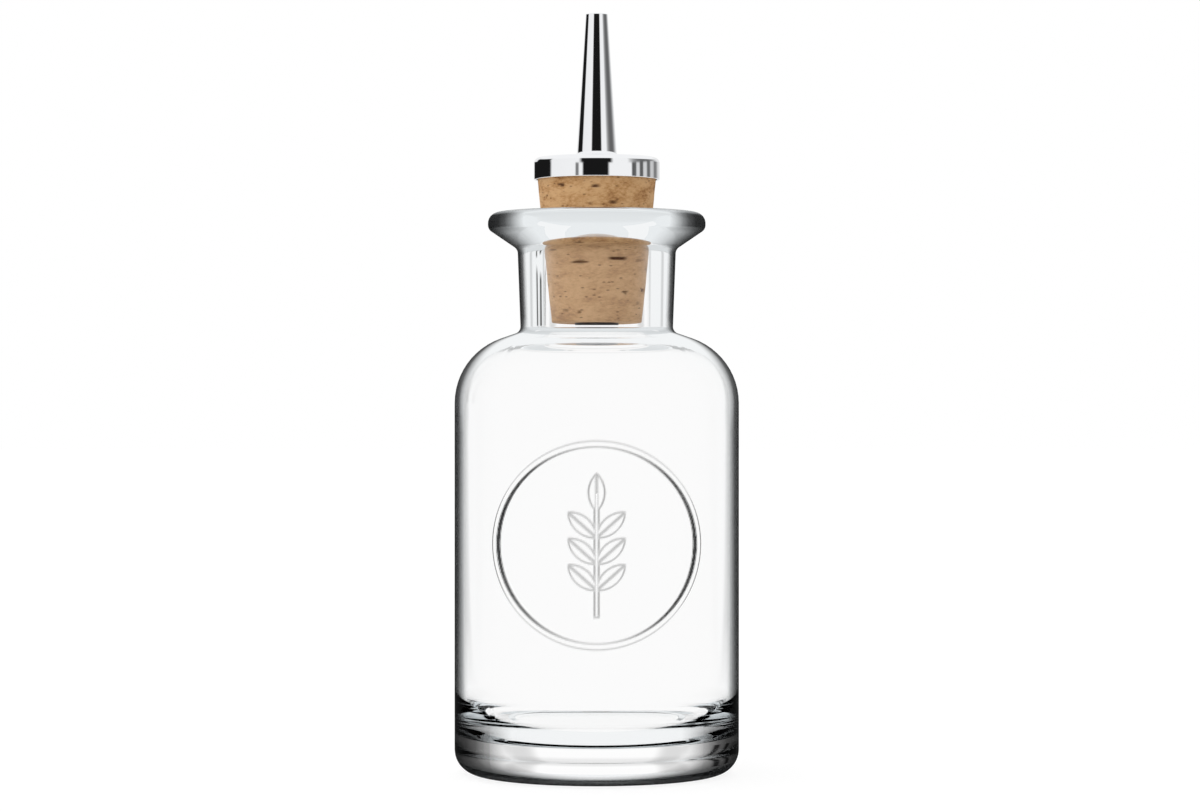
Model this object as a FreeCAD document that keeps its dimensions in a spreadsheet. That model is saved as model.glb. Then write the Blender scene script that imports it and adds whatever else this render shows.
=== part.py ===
"""Bitters bottle: a round glass bottle closed by a tapered cork that carries a metal dasher.

The bottle stands on the XY plane, its axis is Z and its moulded medallion faces -Y.
Lengths are millimetres, and the sheet named Sizes holds every driving dimension.
"""

import FreeCAD
import Part
import Sketcher
import math
import os

from FreeCAD import Placement, Rotation, Vector

# Driving dimensions, piece by piece.
SIZES = {
    # Glass body: outside radius, wall, heel, the ring it stands on and the hollow inside that ring.
    "body_radius": 35.0,
    "wall": 2.2,
    "heel_radius": 6.0,
    "bearing_width": 4.0,
    "bearing_round": 0.8,
    "push_up_height": 1.2,
    "push_up_crown": 0.6,
    "push_up_run": 3.0,
    "push_up_round": 1.2,
    "floor_height": 8.2,
    "floor_crown": 0.8,
    "floor_corner_radius": 12.0,
    # Shoulder: the height where its slope meets the body, its rise to the neck, and its roundings.
    "body_height": 103.1,
    "shoulder_rise": 5.6,
    "shoulder_radius": 16.8,
    "neck_root_radius": 18.75,
    "neck_root_fillet": 1.8,
    "neck_bore_round": 1.5,
    # Neck and flared lip, one above the other, and the dish that leads from the lip down into the mouth.
    "neck_length": 20.3,
    "neck_top_radius": 19.5,
    "neck_top_fillet": 2.0,
    "lip_flare": 4.95,
    "lip_radius": 26.8,
    "lip_under_round": 1.85,
    "lip_thickness": 4.05,
    "lip_top_round": 2.6,
    "lip_land": 1.0,
    "dish_depth": 4.5,
    "dish_round": 1.5,
    "mouth_round": 3.0,
    "seat_depth": 9.0,
    "seat_clearance": 0.05,
    # Medallion moulded on the front, a drop below the shoulder: a raised ring round a leafy sprig.
    "medallion_drop": 45.6,
    "medallion_radius": 24.65,
    "medallion_band": 1.4,
    "relief": 0.6,
    "relief_root": 0.8,
    "sprig_height": 34.0,
    "stalk_width": 1.0,
    "leaf_length": 9.0,
    "leaf_width": 3.8,
    "leaf_step": 6.2,
    # Cork: how far it goes down the neck and how far it stands above the lip.
    "cork_insertion": 27.0,
    "cork_stand": 8.1,
    "cork_bottom_radius": 11.2,
    "cork_edge_round": 0.5,
    # Cap: a pressed cup over the top of the cork, with a flat liner inside it.
    "cap_radius": 15.5,
    "cap_sheet": 0.6,
    "cap_depth": 5.4,
    "cap_edge_round": 1.3,
    "cap_clearance": 0.3,
    "liner_thickness": 0.8,
    "liner_clearance": 0.3,
    # Spout: a tapered tube on a small foot, with a shank that goes down through the cap.
    "spout_length": 35.5,
    "spout_tip_radius": 2.7,
    "spout_tip_wall": 1.0,
    "spout_tip_round": 0.25,
    "spout_root_radius": 4.95,
    "spout_foot_radius": 6.2,
    "spout_foot_height": 0.4,
    "spout_foot_fillet": 1.2,
    "shank_radius": 4.0,
    "shank_length": 9.0,
    "shank_bore": 2.4,
    # Stem: the tube that lines the cork and takes the shank, with a seal under the shank.
    "stem_radius": 5.4,
    "stem_bore": 3.0,
    "stem_flange_radius": 7.0,
    "stem_clearance": 0.05,
    "thread_clearance": 0.05,
    "seal_thickness": 1.0,
    "seal_bore": 2.6,
    # Insert: the plug in the stem's lower end, whose small hole measures out a dash.
    "insert_stand": 1.0,
    "insert_flange": 0.9,
    "insert_radius": 4.2,
    "insert_length": 7.0,
    "insert_clearance": 0.02,
    "orifice_radius": 1.1,
    "funnel_radius": 2.6,
    "funnel_depth": 2.5,
    # How far a cutting solid runs past what it cuts.
    "overrun": 2.0,
}

# The sprig's pairs of leaves, and how far a side leaf leans from the stalk.
LEAF_PAIRS = 3
LEAF_LEAN_DEGREES = 48.0

# Places worked out from the driving dimensions, as expressions that the document evaluates.
CAVITY_RADIUS = "(Sizes.body_radius - Sizes.wall)"
BEARING_INNER = "(Sizes.body_radius - Sizes.heel_radius - Sizes.bearing_width)"
PUSH_UP_EDGE = f"({BEARING_INNER} - Sizes.push_up_run)"
PUSH_UP_TOP = "(Sizes.push_up_height + Sizes.push_up_crown)"
FLOOR_TOP = "(Sizes.floor_height + Sizes.floor_crown)"

SHOULDER_RUN = "(Sizes.body_radius - Sizes.neck_root_radius)"
SHOULDER_SLOPE = f"(Sizes.shoulder_rise / {SHOULDER_RUN})"
SHOULDER_WALL = f"(Sizes.wall * hypot({SHOULDER_RUN}; Sizes.shoulder_rise) / {SHOULDER_RUN})"
INNER_SHOULDER = f"(Sizes.body_height + Sizes.wall * {SHOULDER_SLOPE} - {SHOULDER_WALL})"
INNER_SHOULDER_RADIUS = "(Sizes.shoulder_radius - Sizes.wall)"
NECK_ROOT = "(Sizes.body_height + Sizes.shoulder_rise)"
NECK_TOP = f"({NECK_ROOT} + Sizes.neck_length)"
LIP_EDGE = f"({NECK_TOP} + Sizes.lip_flare)"
LIP_TOP = f"({LIP_EDGE} + Sizes.lip_thickness)"

CORK_BOTTOM = f"({LIP_TOP} - Sizes.cork_insertion)"
CAP_BOTTOM = f"({LIP_TOP} + Sizes.cork_stand)"
CAP_TOP = f"({CAP_BOTTOM} + Sizes.cap_depth)"
CAP_UNDERSIDE = f"({CAP_TOP} - Sizes.cap_sheet)"
CAP_INNER_RADIUS = "(Sizes.cap_radius - Sizes.cap_sheet)"
CAP_INNER_ROUND = "(Sizes.cap_edge_round - Sizes.cap_sheet)"
CORK_TOP = f"({CAP_UNDERSIDE} - Sizes.liner_thickness)"
CORK_TOP_RADIUS = f"({CAP_INNER_RADIUS} - Sizes.cap_clearance)"
CORK_BORE = "(Sizes.stem_radius + Sizes.stem_clearance)"
CORK_WIDENING = f"({CORK_TOP_RADIUS} - Sizes.cork_bottom_radius)"
CORK_TAPER = f"({CORK_WIDENING} / (Sizes.cork_insertion + Sizes.cork_stand))"

SEAT_BOTTOM = f"({LIP_TOP} - Sizes.seat_depth)"
SEAT_RADIUS = "(Sizes.cork_bottom_radius + Sizes.seat_clearance)"
DISH_RADIUS = "(Sizes.lip_radius - Sizes.lip_top_round - Sizes.lip_land)"
DISH_BOTTOM = f"({LIP_TOP} - Sizes.dish_depth)"
MOUTH_RADIUS = f"({SEAT_RADIUS} + {CORK_TAPER} * (Sizes.cork_insertion - Sizes.dish_depth))"
NECK_BORE = f"({SEAT_RADIUS} + {CORK_TAPER} * (Sizes.cork_insertion - Sizes.seat_depth))"
NECK_BORE_FOOT = f"({INNER_SHOULDER} + ({CAVITY_RADIUS} - {NECK_BORE}) * {SHOULDER_SLOPE})"

LINER_BORE = "(Sizes.stem_flange_radius + Sizes.liner_clearance)"
LINER_RADIUS = "(Sizes.cap_radius - Sizes.cap_edge_round - Sizes.liner_clearance)"

SPOUT_TOP = f"({CAP_TOP} + Sizes.spout_length)"
SPOUT_TIP_BORE = "(Sizes.spout_tip_radius - Sizes.spout_tip_wall)"
FOOT_TOP = f"({CAP_TOP} + Sizes.spout_foot_height)"
SHANK_BOTTOM = f"({CAP_TOP} - Sizes.shank_length)"
THREAD_BORE = "(Sizes.shank_radius + Sizes.thread_clearance)"
SEAL_BOTTOM = f"({SHANK_BOTTOM} - Sizes.seal_thickness)"
STEM_BOTTOM = f"({CORK_BOTTOM} + Sizes.insert_flange)"
INSERT_BOTTOM = f"({CORK_BOTTOM} - Sizes.insert_stand)"
INSERT_TOP = f"({STEM_BOTTOM} + Sizes.insert_length)"
INSERT_BORE = "(Sizes.insert_radius + Sizes.insert_clearance)"
FUNNEL_FOOT = f"({INSERT_TOP} - Sizes.funnel_depth)"

RELIEF_OUTER = "(Sizes.body_radius + Sizes.relief)"
RELIEF_INNER = "(Sizes.body_radius - Sizes.relief_root)"
RELIEF_REACH = f"({RELIEF_OUTER} + Sizes.overrun)"
RELIEF_HALF_HEIGHT = "(Sizes.medallion_radius + Sizes.overrun)"
RING_INNER = "(Sizes.medallion_radius - Sizes.medallion_band)"
MEDALLION_CENTRE = "(Sizes.body_height - Sizes.medallion_drop)"
SPRIG_BOTTOM = f"({MEDALLION_CENTRE} - Sizes.sprig_height / 2)"
STALK_LENGTH = "(Sizes.sprig_height - Sizes.leaf_length / 2)"
TOP_LEAF_FOOT = f"({SPRIG_BOTTOM} + Sizes.sprig_height - Sizes.leaf_length)"
LEAF_ARC_RADIUS = "((Sizes.leaf_length ^ 2 + Sizes.leaf_width ^ 2) / (4 * Sizes.leaf_width))"
LEAF_ARC_OFFSET = f"({LEAF_ARC_RADIUS} - Sizes.leaf_width / 2)"

# Turns a primitive's own axis from +Z to -Y, out of the bottle's front.
FRONTWARD = Rotation(Vector(1, 0, 0), 90)

doc = FreeCAD.newDocument("bitters_bottle")
sheet = doc.addObject("Spreadsheet::Sheet", "Sizes")
for row, (alias, value) in enumerate(SIZES.items(), start=1):
    sheet.set(f"A{row}", alias)
    sheet.set(f"B{row}", str(value))
    sheet.setAlias(f"B{row}", alias)
doc.recompute()


def value_of(expression):
    """The number that an expression gives with the sheet as it stands."""
    return float(sheet.evalExpression(expression))


def add(kind, name, **expressions):
    """Adds a document object and binds its properties, with two underscores for the dot in a path."""
    item = doc.addObject(kind, name)
    for path, expression in expressions.items():
        item.setExpression(path.replace("__", "."), expression)
    return item


def rounding_arc(before, corner, after, radius):
    """The arc that rounds a corner, as its start, its middle and its end."""
    back = (before - corner).normalize()
    onward = (after - corner).normalize()
    half_angle = back.getAngle(onward) / 2
    tangent_length = radius / math.tan(half_angle)
    middle_distance = radius / math.sin(half_angle) - radius
    middle = corner + (back + onward).normalize() * middle_distance
    return corner + back * tangent_length, middle, corner + onward * tangent_length


def place_corner(sketch, point, direction, expression, name):
    """Ties one coordinate of a corner to an expression, or puts the corner on the axis where it is zero."""
    if expression == "0":
        axis = -2 if direction == "DistanceX" else -1
        sketch.addConstraint(Sketcher.Constraint("PointOnObject", point, 1, axis))
        return
    distance = Sketcher.Constraint(direction, -1, 1, point, 1, value_of(expression))
    sketch.renameConstraint(sketch.addConstraint(distance), name)
    sketch.setExpression(f"Constraints.{name}", expression)


def round_corner(sketch, point, before, after, arc_points, rounding, name):
    """Joins two lines with a tangent arc whose radius is tied to an expression."""
    arc = sketch.addGeometry(Part.Arc(*arc_points))
    to_start = (sketch.getPoint(arc, 1) - arc_points[0]).Length
    to_end = (sketch.getPoint(arc, 2) - arc_points[0]).Length
    first, last = (1, 2) if to_start < to_end else (2, 1)
    sketch.addConstraint(Sketcher.Constraint("Tangent", before, 2, arc, first))
    sketch.addConstraint(Sketcher.Constraint("Tangent", arc, last, after, 1))
    sketch.addConstraint(Sketcher.Constraint("PointOnObject", point, 1, before))
    sketch.addConstraint(Sketcher.Constraint("PointOnObject", point, 1, after))
    radius = Sketcher.Constraint("Radius", arc, value_of(rounding))
    sketch.renameConstraint(sketch.addConstraint(radius), name)
    sketch.setExpression(f"Constraints.{name}", rounding)


def draw_section(body, corners):
    """Draws a closed half section in the body's XZ plane.

    A corner is (radius, height) or (radius, height, rounding), and each of them is an expression.
    """
    sketch = body.newObject("Sketcher::SketchObject", f"{body.Name}_section")
    plane = next(item for item in body.Origin.OriginFeatures if item.Role == "XZ_Plane")
    sketch.AttachmentSupport = [(plane, "")]
    sketch.MapMode = "FlatFace"
    count = len(corners)
    places = [Vector(value_of(corner[0]), value_of(corner[1]), 0) for corner in corners]
    arcs = {}
    for i, corner in enumerate(corners):
        if len(corner) == 3:
            following = places[(i + 1) % count]
            arcs[i] = rounding_arc(places[i - 1], places[i], following, value_of(corner[2]))
    points = [sketch.addGeometry(Part.Point(place), True) for place in places]
    lines = []
    for i in range(count):
        j = (i + 1) % count
        start = arcs[i][2] if i in arcs else places[i]
        end = arcs[j][0] if j in arcs else places[j]
        lines.append(sketch.addGeometry(Part.LineSegment(start, end)))
    for i, corner in enumerate(corners):
        place_corner(sketch, points[i], "DistanceX", corner[0], f"radius_{i}")
        place_corner(sketch, points[i], "DistanceY", corner[1], f"height_{i}")
        if i in arcs:
            round_corner(sketch, points[i], lines[i - 1], lines[i], arcs[i], corner[2], f"round_{i}")
        else:
            sketch.addConstraint(Sketcher.Constraint("Coincident", lines[i - 1], 2, points[i], 1))
            sketch.addConstraint(Sketcher.Constraint("Coincident", lines[i], 1, points[i], 1))
    return sketch


def turned_piece(name, corners):
    """A body made by one full revolution of a half section about the bottle's axis."""
    body = doc.addObject("PartDesign::Body", name)
    sketch = draw_section(body, corners)
    turn = body.newObject("PartDesign::Revolution", f"{name}_turn")
    turn.Profile = sketch
    turn.ReferenceAxis = (sketch, ["V_Axis"])
    turn.Angle = 360
    body.Tip = turn
    return body


def make_bottle_blank():
    """The glass bottle without its medallion: outside from base to lip, then inside from mouth to floor."""
    return turned_piece("bottle_blank", [
        ("0", PUSH_UP_TOP),
        (PUSH_UP_EDGE, "Sizes.push_up_height", "Sizes.push_up_round"),
        (BEARING_INNER, "0", "Sizes.bearing_round"),
        ("Sizes.body_radius", "0", "Sizes.heel_radius"),
        ("Sizes.body_radius", "Sizes.body_height", "Sizes.shoulder_radius"),
        ("Sizes.neck_root_radius", NECK_ROOT, "Sizes.neck_root_fillet"),
        ("Sizes.neck_top_radius", NECK_TOP, "Sizes.neck_top_fillet"),
        ("Sizes.lip_radius", LIP_EDGE, "Sizes.lip_under_round"),
        ("Sizes.lip_radius", LIP_TOP, "Sizes.lip_top_round"),
        (DISH_RADIUS, LIP_TOP, "Sizes.dish_round"),
        (MOUTH_RADIUS, DISH_BOTTOM, "Sizes.mouth_round"),
        (NECK_BORE, SEAT_BOTTOM),
        (NECK_BORE, NECK_BORE_FOOT, "Sizes.neck_bore_round"),
        (CAVITY_RADIUS, INNER_SHOULDER, INNER_SHOULDER_RADIUS),
        (CAVITY_RADIUS, "Sizes.floor_height", "Sizes.floor_corner_radius"),
        ("0", FLOOR_TOP),
    ])


def front_cylinder(name, radius, x, z):
    """A cylinder that runs from the bottle's axis out through its front."""
    cylinder = add("Part::Cylinder", name, Radius=radius, Height=RELIEF_REACH)
    cylinder.Placement = Placement(Vector(0, 0, 0), FRONTWARD)
    cylinder.setExpression("Placement.Base.x", x)
    cylinder.setExpression("Placement.Base.z", z)
    return cylinder


def cut(name, base, tool):
    """One object less another."""
    result = doc.addObject("Part::Cut", name)
    result.Base = base
    result.Tool = tool
    return result


def common(name, base, tool):
    """What two objects share."""
    result = doc.addObject("Part::Common", name)
    result.Base = base
    result.Tool = tool
    return result


def make_leaf(name, foot, lean_degrees):
    """A pointed leaf, the overlap of two cylinders, that leans sideways from its foot on the stalk."""
    sine = f"sin({lean_degrees} deg)"
    cosine = f"cos({lean_degrees} deg)"
    middle_x = f"(Sizes.leaf_length / 2 * {sine})"
    middle_z = f"({foot} + Sizes.leaf_length / 2 * {cosine})"
    sides = []
    for side, sign in (("upper", "+"), ("lower", "-")):
        x = f"{middle_x} {sign} {LEAF_ARC_OFFSET} * {cosine}"
        z = f"{middle_z} - (0 {sign} {LEAF_ARC_OFFSET} * {sine})"
        sides.append(front_cylinder(f"{name}_{side}", LEAF_ARC_RADIUS, x, z))
    return common(name, *sides)


def make_medallion():
    """The raised glass on the front: a ring round an upright sprig, both following the body's curve."""
    ring = cut(
        "medallion_ring",
        front_cylinder("ring_outside", "Sizes.medallion_radius", "0", MEDALLION_CENTRE),
        front_cylinder("ring_inside", RING_INNER, "0", MEDALLION_CENTRE),
    )
    stalk = add(
        "Part::Box", "stalk",
        Length="Sizes.stalk_width", Width=RELIEF_REACH, Height=STALK_LENGTH,
        Placement__Base__x="-Sizes.stalk_width / 2",
        Placement__Base__y=f"-{RELIEF_REACH}",
        Placement__Base__z=SPRIG_BOTTOM,
    )
    leaves = [make_leaf("leaf_top", TOP_LEAF_FOOT, 0)]
    for pair in range(1, LEAF_PAIRS + 1):
        foot = f"({TOP_LEAF_FOOT} - {pair} * Sizes.leaf_step)"
        leaves.append(make_leaf(f"leaf_right_{pair}", foot, LEAF_LEAN_DEGREES))
        leaves.append(make_leaf(f"leaf_left_{pair}", foot, -LEAF_LEAN_DEGREES))
    pattern = doc.addObject("Part::MultiFuse", "medallion_pattern")
    pattern.Shapes = [ring, stalk, *leaves]
    skin_bottom = f"{MEDALLION_CENTRE} - {RELIEF_HALF_HEIGHT}"
    skin = cut("medallion_skin", *(
        add("Part::Cylinder", name, Radius=radius, Height=f"2 * {RELIEF_HALF_HEIGHT}",
            Placement__Base__z=skin_bottom)
        for name, radius in (("skin_outside", RELIEF_OUTER), ("skin_inside", RELIEF_INNER))
    ))
    return common("medallion", pattern, skin)


def make_bottle():
    """The bottle with its medallion moulded on, one piece of glass."""
    bottle = doc.addObject("Part::Fuse", "glass_bottle")
    bottle.Base = make_bottle_blank()
    bottle.Tool = make_medallion()
    return bottle


def make_cork():
    """Tapered cork, straight inside the cap, with a bore for the stem."""
    return turned_piece("cork_stopper", [
        (CORK_BORE, CORK_BOTTOM),
        ("Sizes.cork_bottom_radius", CORK_BOTTOM, "Sizes.cork_edge_round"),
        (CORK_TOP_RADIUS, CAP_BOTTOM),
        (CORK_TOP_RADIUS, CORK_TOP),
        (CORK_BORE, CORK_TOP),
    ])


def make_liner():
    """Flat washer between the cork's top and the cap, round the stem's flange."""
    return turned_piece("cap_liner", [
        (LINER_BORE, CORK_TOP),
        (LINER_RADIUS, CORK_TOP),
        (LINER_RADIUS, CAP_UNDERSIDE),
        (LINER_BORE, CAP_UNDERSIDE),
    ])


def make_cap():
    """Pressed cup with a rounded edge and a hole for the spout's shank."""
    return turned_piece("cap_shell", [
        (THREAD_BORE, CAP_UNDERSIDE),
        (CAP_INNER_RADIUS, CAP_UNDERSIDE, CAP_INNER_ROUND),
        (CAP_INNER_RADIUS, CAP_BOTTOM),
        ("Sizes.cap_radius", CAP_BOTTOM),
        ("Sizes.cap_radius", CAP_TOP, "Sizes.cap_edge_round"),
        (THREAD_BORE, CAP_TOP),
    ])


def make_spout():
    """Tapered spout with a foot on the cap, a shank below it and one tapered bore through both."""
    return turned_piece("dasher_spout", [
        ("Sizes.shank_bore", SHANK_BOTTOM),
        ("Sizes.shank_radius", SHANK_BOTTOM),
        ("Sizes.shank_radius", CAP_TOP),
        ("Sizes.spout_foot_radius", CAP_TOP),
        ("Sizes.spout_foot_radius", FOOT_TOP),
        ("Sizes.spout_root_radius", FOOT_TOP, "Sizes.spout_foot_fillet"),
        ("Sizes.spout_tip_radius", SPOUT_TOP, "Sizes.spout_tip_round"),
        (SPOUT_TIP_BORE, SPOUT_TOP),
    ])


def make_stem():
    """Tube through the cork, with a flange under the cap, a bore for the shank and one for the insert."""
    return turned_piece("stem_tube", [
        (INSERT_BORE, STEM_BOTTOM),
        ("Sizes.stem_radius", STEM_BOTTOM),
        ("Sizes.stem_radius", CORK_TOP),
        ("Sizes.stem_flange_radius", CORK_TOP),
        ("Sizes.stem_flange_radius", CAP_UNDERSIDE),
        (THREAD_BORE, CAP_UNDERSIDE),
        (THREAD_BORE, SEAL_BOTTOM),
        ("Sizes.stem_bore", SEAL_BOTTOM),
        ("Sizes.stem_bore", INSERT_TOP),
        (INSERT_BORE, INSERT_TOP),
    ])


def make_seal():
    """Flat ring between the end of the shank and the step in the stem."""
    return turned_piece("spout_seal", [
        ("Sizes.seal_bore", SEAL_BOTTOM),
        ("Sizes.shank_radius", SEAL_BOTTOM),
        ("Sizes.shank_radius", SHANK_BOTTOM),
        ("Sizes.seal_bore", SHANK_BOTTOM),
    ])


def make_insert():
    """Plug with a flange that stands a little out of the cork, a small hole and a funnel above it."""
    return turned_piece("dasher_insert", [
        ("Sizes.orifice_radius", INSERT_BOTTOM),
        ("Sizes.stem_radius", INSERT_BOTTOM),
        ("Sizes.stem_radius", STEM_BOTTOM),
        ("Sizes.insert_radius", STEM_BOTTOM),
        ("Sizes.insert_radius", INSERT_TOP),
        ("Sizes.funnel_radius", INSERT_TOP),
        ("Sizes.orifice_radius", FUNNEL_FOOT),
    ])


pieces = [
    make_bottle(),
    make_cork(),
    make_liner(),
    make_cap(),
    make_spout(),
    make_stem(),
    make_seal(),
    make_insert(),
]
doc.recompute()

for item in doc.Objects:
    if "Invalid" in item.State or "Error" in item.State:
        raise RuntimeError(f"{item.Name} failed: {item.State}")
for piece in pieces:
    shape = piece.Shape
    if shape.isNull() or not shape.isValid() or len(shape.Solids) != 1:
        raise RuntimeError(f"{piece.Label} is not one valid solid")

os.makedirs("parts", exist_ok=True)
for piece in pieces:
    piece.Shape.exportStep(f"parts/{piece.Label}.step")
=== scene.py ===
"""Bitters bottle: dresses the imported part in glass, cork, chrome and plastic, in a plain studio.

Lengths are metres in the part's own frame: the bottle stands on the XY plane, its axis is Z and
its medallion faces -Y. Sizes are written in millimetres and turned to metres where they are
declared.
"""

import math
import random

import bmesh
import bpy
from mathutils import Matrix, Vector, noise


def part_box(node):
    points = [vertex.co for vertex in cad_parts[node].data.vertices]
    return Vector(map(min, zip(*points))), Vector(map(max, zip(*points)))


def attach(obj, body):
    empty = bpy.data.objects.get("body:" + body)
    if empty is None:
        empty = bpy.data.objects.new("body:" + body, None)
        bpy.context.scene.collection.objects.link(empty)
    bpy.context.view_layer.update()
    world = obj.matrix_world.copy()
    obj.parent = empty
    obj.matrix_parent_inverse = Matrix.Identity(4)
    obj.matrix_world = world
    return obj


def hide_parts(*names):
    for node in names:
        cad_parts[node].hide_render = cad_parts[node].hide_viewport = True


bl_info = {
    "name": "Bitters Bottle",
    "version": (1, 0, 0),
    "blender": (4, 5, 0),
    "location": "View3D > Sidebar > Bottle",
    "description": "Builds a bitters bottle with a cork dasher, and a studio to show it in",
    "category": "Object",
}

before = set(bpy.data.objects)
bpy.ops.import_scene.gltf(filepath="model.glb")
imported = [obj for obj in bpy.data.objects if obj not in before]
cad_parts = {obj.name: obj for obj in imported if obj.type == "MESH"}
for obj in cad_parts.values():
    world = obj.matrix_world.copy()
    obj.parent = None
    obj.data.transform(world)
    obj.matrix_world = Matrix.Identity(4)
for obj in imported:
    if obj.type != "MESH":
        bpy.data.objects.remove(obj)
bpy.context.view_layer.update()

MM = 0.001

GLASS_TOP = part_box("glass_bottle")[1].z
CORK_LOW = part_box("cork_stopper")[0].z
CORK_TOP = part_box("cork_stopper")[1].z
CAP_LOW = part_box("cap_shell")[0].z
CAP_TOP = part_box("cap_shell")[1].z
INSERT_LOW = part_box("dasher_insert")[0].z
SPOUT_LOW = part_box("dasher_spout")[0].z
SPOUT_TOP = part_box("dasher_spout")[1].z


def linear(hex_colour):
    """An sRGB hex colour as linear red, green, blue and alpha."""
    channels = [int(hex_colour[i:i + 2], 16) / 255.0 for i in (0, 2, 4)]
    return [c / 12.92 if c <= 0.04045 else ((c + 0.055) / 1.055) ** 2.4 for c in channels] + [1.0]


def length(label, millimetres, description):
    """A length that a user can change, written in millimetres."""
    return bpy.props.FloatProperty(
        name=label, description=description, default=millimetres * MM, min=0.0, unit="LENGTH",
        precision=5,
    )


def colour(label, hex_colour, description):
    """A colour that a user can change."""
    return bpy.props.FloatVectorProperty(
        name=label, description=description, default=linear(hex_colour), size=4, min=0.0, max=1.0,
        subtype="COLOR",
    )


class BottleSizes(bpy.types.PropertyGroup):
    """Sizes of the glass bottle and of the medallion on its front."""

    body_radius: length("Body radius", 35.0, "Outside radius of the body")
    wall: length("Wall", 2.2, "Thickness of the body's wall")
    heel_radius: length("Heel radius", 6.0, "Rounding between the body and the base")
    bearing_width: length("Bearing width", 4.0, "Width of the flat ring that the bottle stands on")
    bearing_round: length("Bearing round", 0.8, "Rounding inside the ring that it stands on")
    push_up_height: length("Push-up height", 1.2, "Rise of the hollow under the base")
    push_up_crown: length("Push-up crown", 0.6, "Further rise of that hollow at the axis")
    push_up_run: length("Push-up run", 3.0, "Width of the slope from the ring to the hollow")
    push_up_round: length("Push-up round", 1.2, "Rounding at the top of that slope")
    floor_height: length("Floor height", 8.2, "Height of the inside floor at its edge")
    floor_crown: length("Floor crown", 0.8, "Rise of the inside floor at the axis")
    floor_corner: length("Floor corner", 12.0, "Rounding between the inside wall and the floor")
    body_height: length("Body height", 103.1, "Height where the body meets the shoulder's slope")
    shoulder_rise: length("Shoulder rise", 5.6, "Rise of the shoulder's slope to the neck")
    shoulder_radius: length("Shoulder radius", 16.8, "Rounding of the shoulder")
    neck_root_radius: length("Neck root radius", 18.75, "Outside radius of the neck at its foot")
    neck_root_fillet: length("Neck root fillet", 1.8, "Fillet between the shoulder and the neck")
    neck_bore_round: length("Bore round", 1.5, "Rounding where the neck's bore opens into the body")
    neck_length: length("Neck length", 20.3, "Length of the neck below its lip")
    neck_top_radius: length("Neck top radius", 19.5, "Outside radius of the neck under its lip")
    neck_top_fillet: length("Neck top fillet", 2.0, "Fillet between the neck and its lip")
    lip_flare: length("Lip flare", 4.95, "Rise of the lip's sloped underside")
    lip_radius: length("Lip radius", 26.8, "Outside radius of the lip")
    lip_under_round: length("Lip lower round", 1.85, "Rounding of the lip's lower edge")
    lip_top_round: length("Lip upper round", 2.6, "Rounding of the lip's upper edge")
    lip_land: length("Lip land", 1.0, "Width of the flat on top of the lip")
    dish_depth: length("Dish depth", 4.5, "Depth of the dish that leads from the lip to the mouth")
    dish_round: length("Dish round", 1.5, "Rounding of the dish's upper edge")
    mouth_radius: length("Mouth radius", 13.429, "Radius of the mouth at the bottom of the dish")
    mouth_round: length("Mouth round", 3.0, "Rounding of the mouth's edge")
    neck_bore: length("Neck bore", 12.994, "Inside radius of the neck below the cork's seat")
    seat_depth: length("Seat depth", 9.0, "How far below the lip the cork's tapered seat ends")
    medallion_height: length("Medallion height", 57.5, "Height of the medallion's centre")
    medallion_radius: length("Medallion radius", 24.65, "Outside radius of the medallion's ring")
    medallion_band: length("Medallion band", 1.4, "Width of the medallion's ring")
    relief: length("Relief", 0.58, "Height of the raised glass over the body")
    sprig_height: length("Sprig height", 34.0, "Height of the sprig from its foot to its tip")
    stalk_width: length("Stalk width", 1.0, "Width of the sprig's stalk")
    leaf_length: length("Leaf length", 9.0, "Length of a leaf")
    leaf_width: length("Leaf width", 3.8, "Width of a leaf")
    leaf_step: length("Leaf step", 6.2, "Height between one pair of leaves and the next")
    leaf_pairs: bpy.props.IntProperty(
        name="Leaf pairs", description="Number of pairs of side leaves", default=3, min=0, max=8,
    )
    leaf_lean: bpy.props.FloatProperty(
        name="Leaf lean", description="Angle between a side leaf and the stalk",
        default=math.radians(48.0), unit="ROTATION",
    )


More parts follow.
